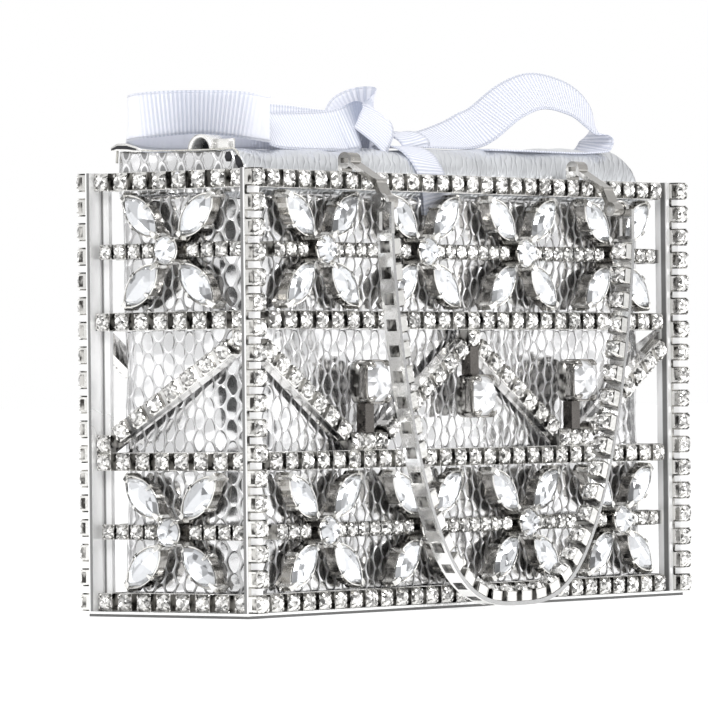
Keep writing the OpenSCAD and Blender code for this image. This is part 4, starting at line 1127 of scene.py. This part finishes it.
def ribbon_part(places, lean, depth=0.0, bow=0.0):
    """A ribbon along a smooth curve through places, with a lean and a fold depth for each place: its
    rings, its distances and the depth at each corner."""
    line, leans, depths = (
        smooth(np.broadcast_to(v, (len(places), np.shape(v)[-1])), ribbon_steps)
        for v in (places, lean, np.reshape(depth, (-1, 1))))
    rings, marks = strip(line, leans, ribbon_wide, ribbon_thick, 8, bow)
    return rings, marks, np.repeat(depths[:, 0], marks.shape[1])


def lay(name, node, held, *parts):
    """Makes parts of the bow one piece of ribbon, flat as long as their curves run together."""
    depth = np.concatenate([depths for rings, marks, depths in parts])
    piece = strips(name, ribbon_finish, "ribbon", [part[:2] for part in parts], node, depth=depth)


# %% The left loop: x, y, z, lean in x and y, fold depth
left_table = np.array([
    [-8.8, -0.8, 115.6, 0, 0, -0.5], [-20, -1.4, 115.7, 0, 0, -0.3], [-32, -1.6, 116.0, 0, 0, -0.1],
    [-44, -1.4, 116.6, 0, 0, 0], [-53, -0.4, 116.8, 0, 0, -0.6], [-60, 2.4, 116.6, 0, 0, -1],
    [-67, 7.8, 116.4, 0, 0, -1], [-72.6, 13.0, 116.5, 0, 0, -1], [-75.8, 17.0, 117.0, 0, 0, -1],
    [-77.6, 18.5, 117.8, 0, 0, -1], [-79.5, 18.1, 118.5, 0, 0, -1], [-80.4, 15.8, 118.9, 0, 0, -0.9],
    [-79.0, 11.8, 119.3, -0.1, -0.1, -0.3], [-75.6, 6.6, 119.7, -0.3, -0.2, 0.25],
    [-71.0, 1.2, 119.8, -0.35, -0.25, 0.25], [-66.2, -3.4, 119.4, -0.2, -0.15, 0],
    [-62.6, -7.0, 118.6, 0, 0, -0.8], [-60.2, -8.8, 118.1, 0, 0, -1], [-59.0, -8.2, 118.0, 0, 0, -0.8],
    [-58.6, -6.6, 117.7, 0, 0.1, -0.3], [-57.0, -5.2, 116.6, 0, 0.5, 0], [-52.5, -4.8, 115.7, 0, 0.7, -0.2],
    [-44, -5.0, 115.7, 0, 0.65, -0.3], [-34, -5.2, 116.0, 0, 0.55, -0.3], [-26, -5.0, 116.4, 0, 0.4, -0.2]])
left_leans = np.c_[left_table[:, 3:5], np.ones(len(left_table))]
lay("ribbon_loop_left", "ribbon_left_loop", "folded",
    ribbon_part(left_table[:, :3], left_leans, left_table[:, 5]))

# %% The right loop: shares of its reach, of the pouch's half depth and of its rise
knot_right, right_reach, right_rise, root_tilt = 4.4, 70.3, 13.4, 0.38
right_shares = np.array([
    [0, -0.075, 0], [0.12, -0.09, 0], [0.26, -0.11, 0.1], [0.34, -0.14, 0.22], [0.41, -0.175, 0.37],
    [0.548, -0.235, 0.79], [0.688, -0.295, 1], [0.842, -0.36, 0.89], [0.94, -0.4, 0.64],
    [0.998, -0.43, 0.31], [0.998, -0.43, 0.05], [0.95, -0.4, 0.045], [0.79, -0.4, 0], [0.58, -0.39, 0],
    [0.42, -0.36, 0], [0.29, -0.32, 0]])
order = np.arange(16)
root_lift = np.where(order < 11, root_tilt*ribbon_wide/2 + 0.3, 0)
right_places = np.c_[knot_right + right_reach*right_shares[:, 0], pouch_half*right_shares[:, 1],
                     rest + right_rise*right_shares[:, 2] + root_lift]
lean_share = np.array([0, 0, 0.5, 1, 1, 1, 1, 1, 1, 0.8, 0.3, 0, 0, 0, 0, 0])[:, None]
resting = np.where(order[:, None] < 3, [[0, 0.92, root_tilt]], [[0, 1.0, 0]])
right_leans = np.array([0.4, 0.45, 0.8])*lean_share + resting*(1 - lean_share)
lay("ribbon_loop_right", "ribbon_right_loop", "folded", ribbon_part(right_places, right_leans))

# %% The tail and the knot
tail_places = np.array([
    (-6.5, -2.6, 112.95), (-6.4, -7.4, 112.9), (-7.4, -12, 111.9), (-9.0, -16.3, 109.4),
    (-9.4, -19.1, 105.8), (-9.0, -20.3, 101.5), (-8.2, -20.3, 96.5)])
lay("ribbon_end_front", "ribbon_tail", "draped", ribbon_part(tail_places, flat_x))

hollow_table = np.array([
    [-27, -5.1, 116.5, 0.45, -0.1], [-24.8, -5.4, 116.9, 0.35, 0.1], [-22.8, -5.4, 117.5, 0.25, 0.45],
    [-20.8, -4.9, 118.1, 0.15, 0.8], [-19, -4.2, 118.4, 0.1, 1], [-16.8, -3.2, 118.2, 0, 1],
    [-14.2, -2.4, 117.6, 0, 1], [-11.6, -2.2, 117.0, 0, 1]])
over_table = np.array([
    [-21.5, -1.0, 116.0, -0.7], [-20, -0.2, 118.6, -0.7], [-17.6, 0.4, 120.6, -0.6],
    [-14.8, 0.4, 121.8, -0.4], [-12.2, -0.6, 122.4, 0.3], [-10.8, -2.4, 121.9, -0.3],
    [-12.2, -4.6, 119.3, -0.4], [-16.0, -6.5, 116.4, -0.3], [-19.4, -7.8, 114.0, -0.2]])
wrap = np.linspace(-0.1*np.pi, 1.1*np.pi, 9)
wrap_places = np.c_[np.linspace(1.2, -1.3, 9), -0.6 - 6.0*np.cos(wrap), 113.4 + 3.2*np.sin(wrap)]
hollow_leans = np.c_[np.zeros(8), hollow_table[:, 3], np.ones(8)]
lay("ribbon_knot_folds", "ribbon_knot", "folded",
    ribbon_part(hollow_table[:, :3], hollow_leans, hollow_table[:, 4]),
    ribbon_part(over_table[:, :3], (0.43, -0.51, -0.75), over_table[:, 3], bow=0.4),
    ribbon_part(wrap_places, (1.0, 0, 0.1), -0.2, bow=0.5))

# %% [markdown]
# ## Floor, light and surroundings
# The photograph was taken on white, in a white tent with a few dark cards that draw black lines in the
# metal. The surroundings seen by the camera are plain white, and what the metal reflects is a white
# sky with dark patches. The floor is white enough to vanish, apart from the shade under the bag.

# %% Floor
floor_half, floor_z = 20000.0, -0.02
floor_paint = finish("floor_white", lambda w: {}, Base_Color=grey(0.9), Roughness=0.22,
                     Emission_Color=grey(1), Emission_Strength=0.55)
floor_corners = np.array([[sx*floor_half, sy*floor_half, floor_z]
                          for sx, sy in ((-1, -1), (1, -1), (1, 1), (-1, 1))])
make("floor", (floor_corners, {4: np.array([[0, 1, 2, 3]])}), floor_paint)

# %% Surroundings
world = bpy.data.worlds.new("studio")
bpy.context.scene.world = world
world.use_nodes = True
tree = world.node_tree
w = Wire(tree)
direction = w.node("TexCoord", out=0)


def near_way(x, y, z, low, high):
    """1 for directions close to a way, 0 far from it; low and high are cosines."""
    way = (float(x), float(y), float(z))
    return w.node("VectorMath", (direction, way), out=1, operation="DOT_PRODUCT").step(low, high)


patches = direction.noise(2.6, 1.0).step(0.5, 0.62)
card = near_way(*back, 0.78, 0.88)
white_front = near_way(-back[0], back[1], 0, 0.84, 0.93)
white_left = near_way(back[0], -back[1], 0, 0.84, 0.93)
overhead = direction.part(2).step(0.6, 0.8)
dark = (patches*(1 - white_front)*(1 - white_left)).maths("MAXIMUM", card)*(1 - overhead)
seen = w.node("LightPath", out=0)
shade = seen.maths("MAXIMUM", (1 - dark*0.97)*0.96)
backdrop = tree.nodes["Background"]
tree.links.new(shade.mix(grey(0.0), grey(1.0)).socket, backdrop.inputs["Color"])
backdrop.inputs["Strength"].default_value = 1.0
print("surroundings", len(tree.nodes), "nodes")


# %% Lamps
bag_middle = Vector((0, 0, 0.06))


def lamp(name, place, size, power):
    """A square soft box that looks at the middle of the bag."""
    light = bpy.data.lights.new(name, "AREA")
    light.energy, light.size = power, size
    made = bpy.data.objects.new(name, light)
    bpy.context.collection.objects.link(made)
    made.location = place
    made.rotation_mode = "QUATERNION"
    made.rotation_quaternion = (bag_middle - Vector(place)).to_track_quat("-Z", "Y")
    print("lamp", name, power, "W")


lamp("key", (-0.9, -0.5, 0.9), 0.5, 9)
lamp("fill", (0.6, -1.0, 0.6), 0.7, 5)
bpy.context.scene.view_settings.view_transform = "Standard"
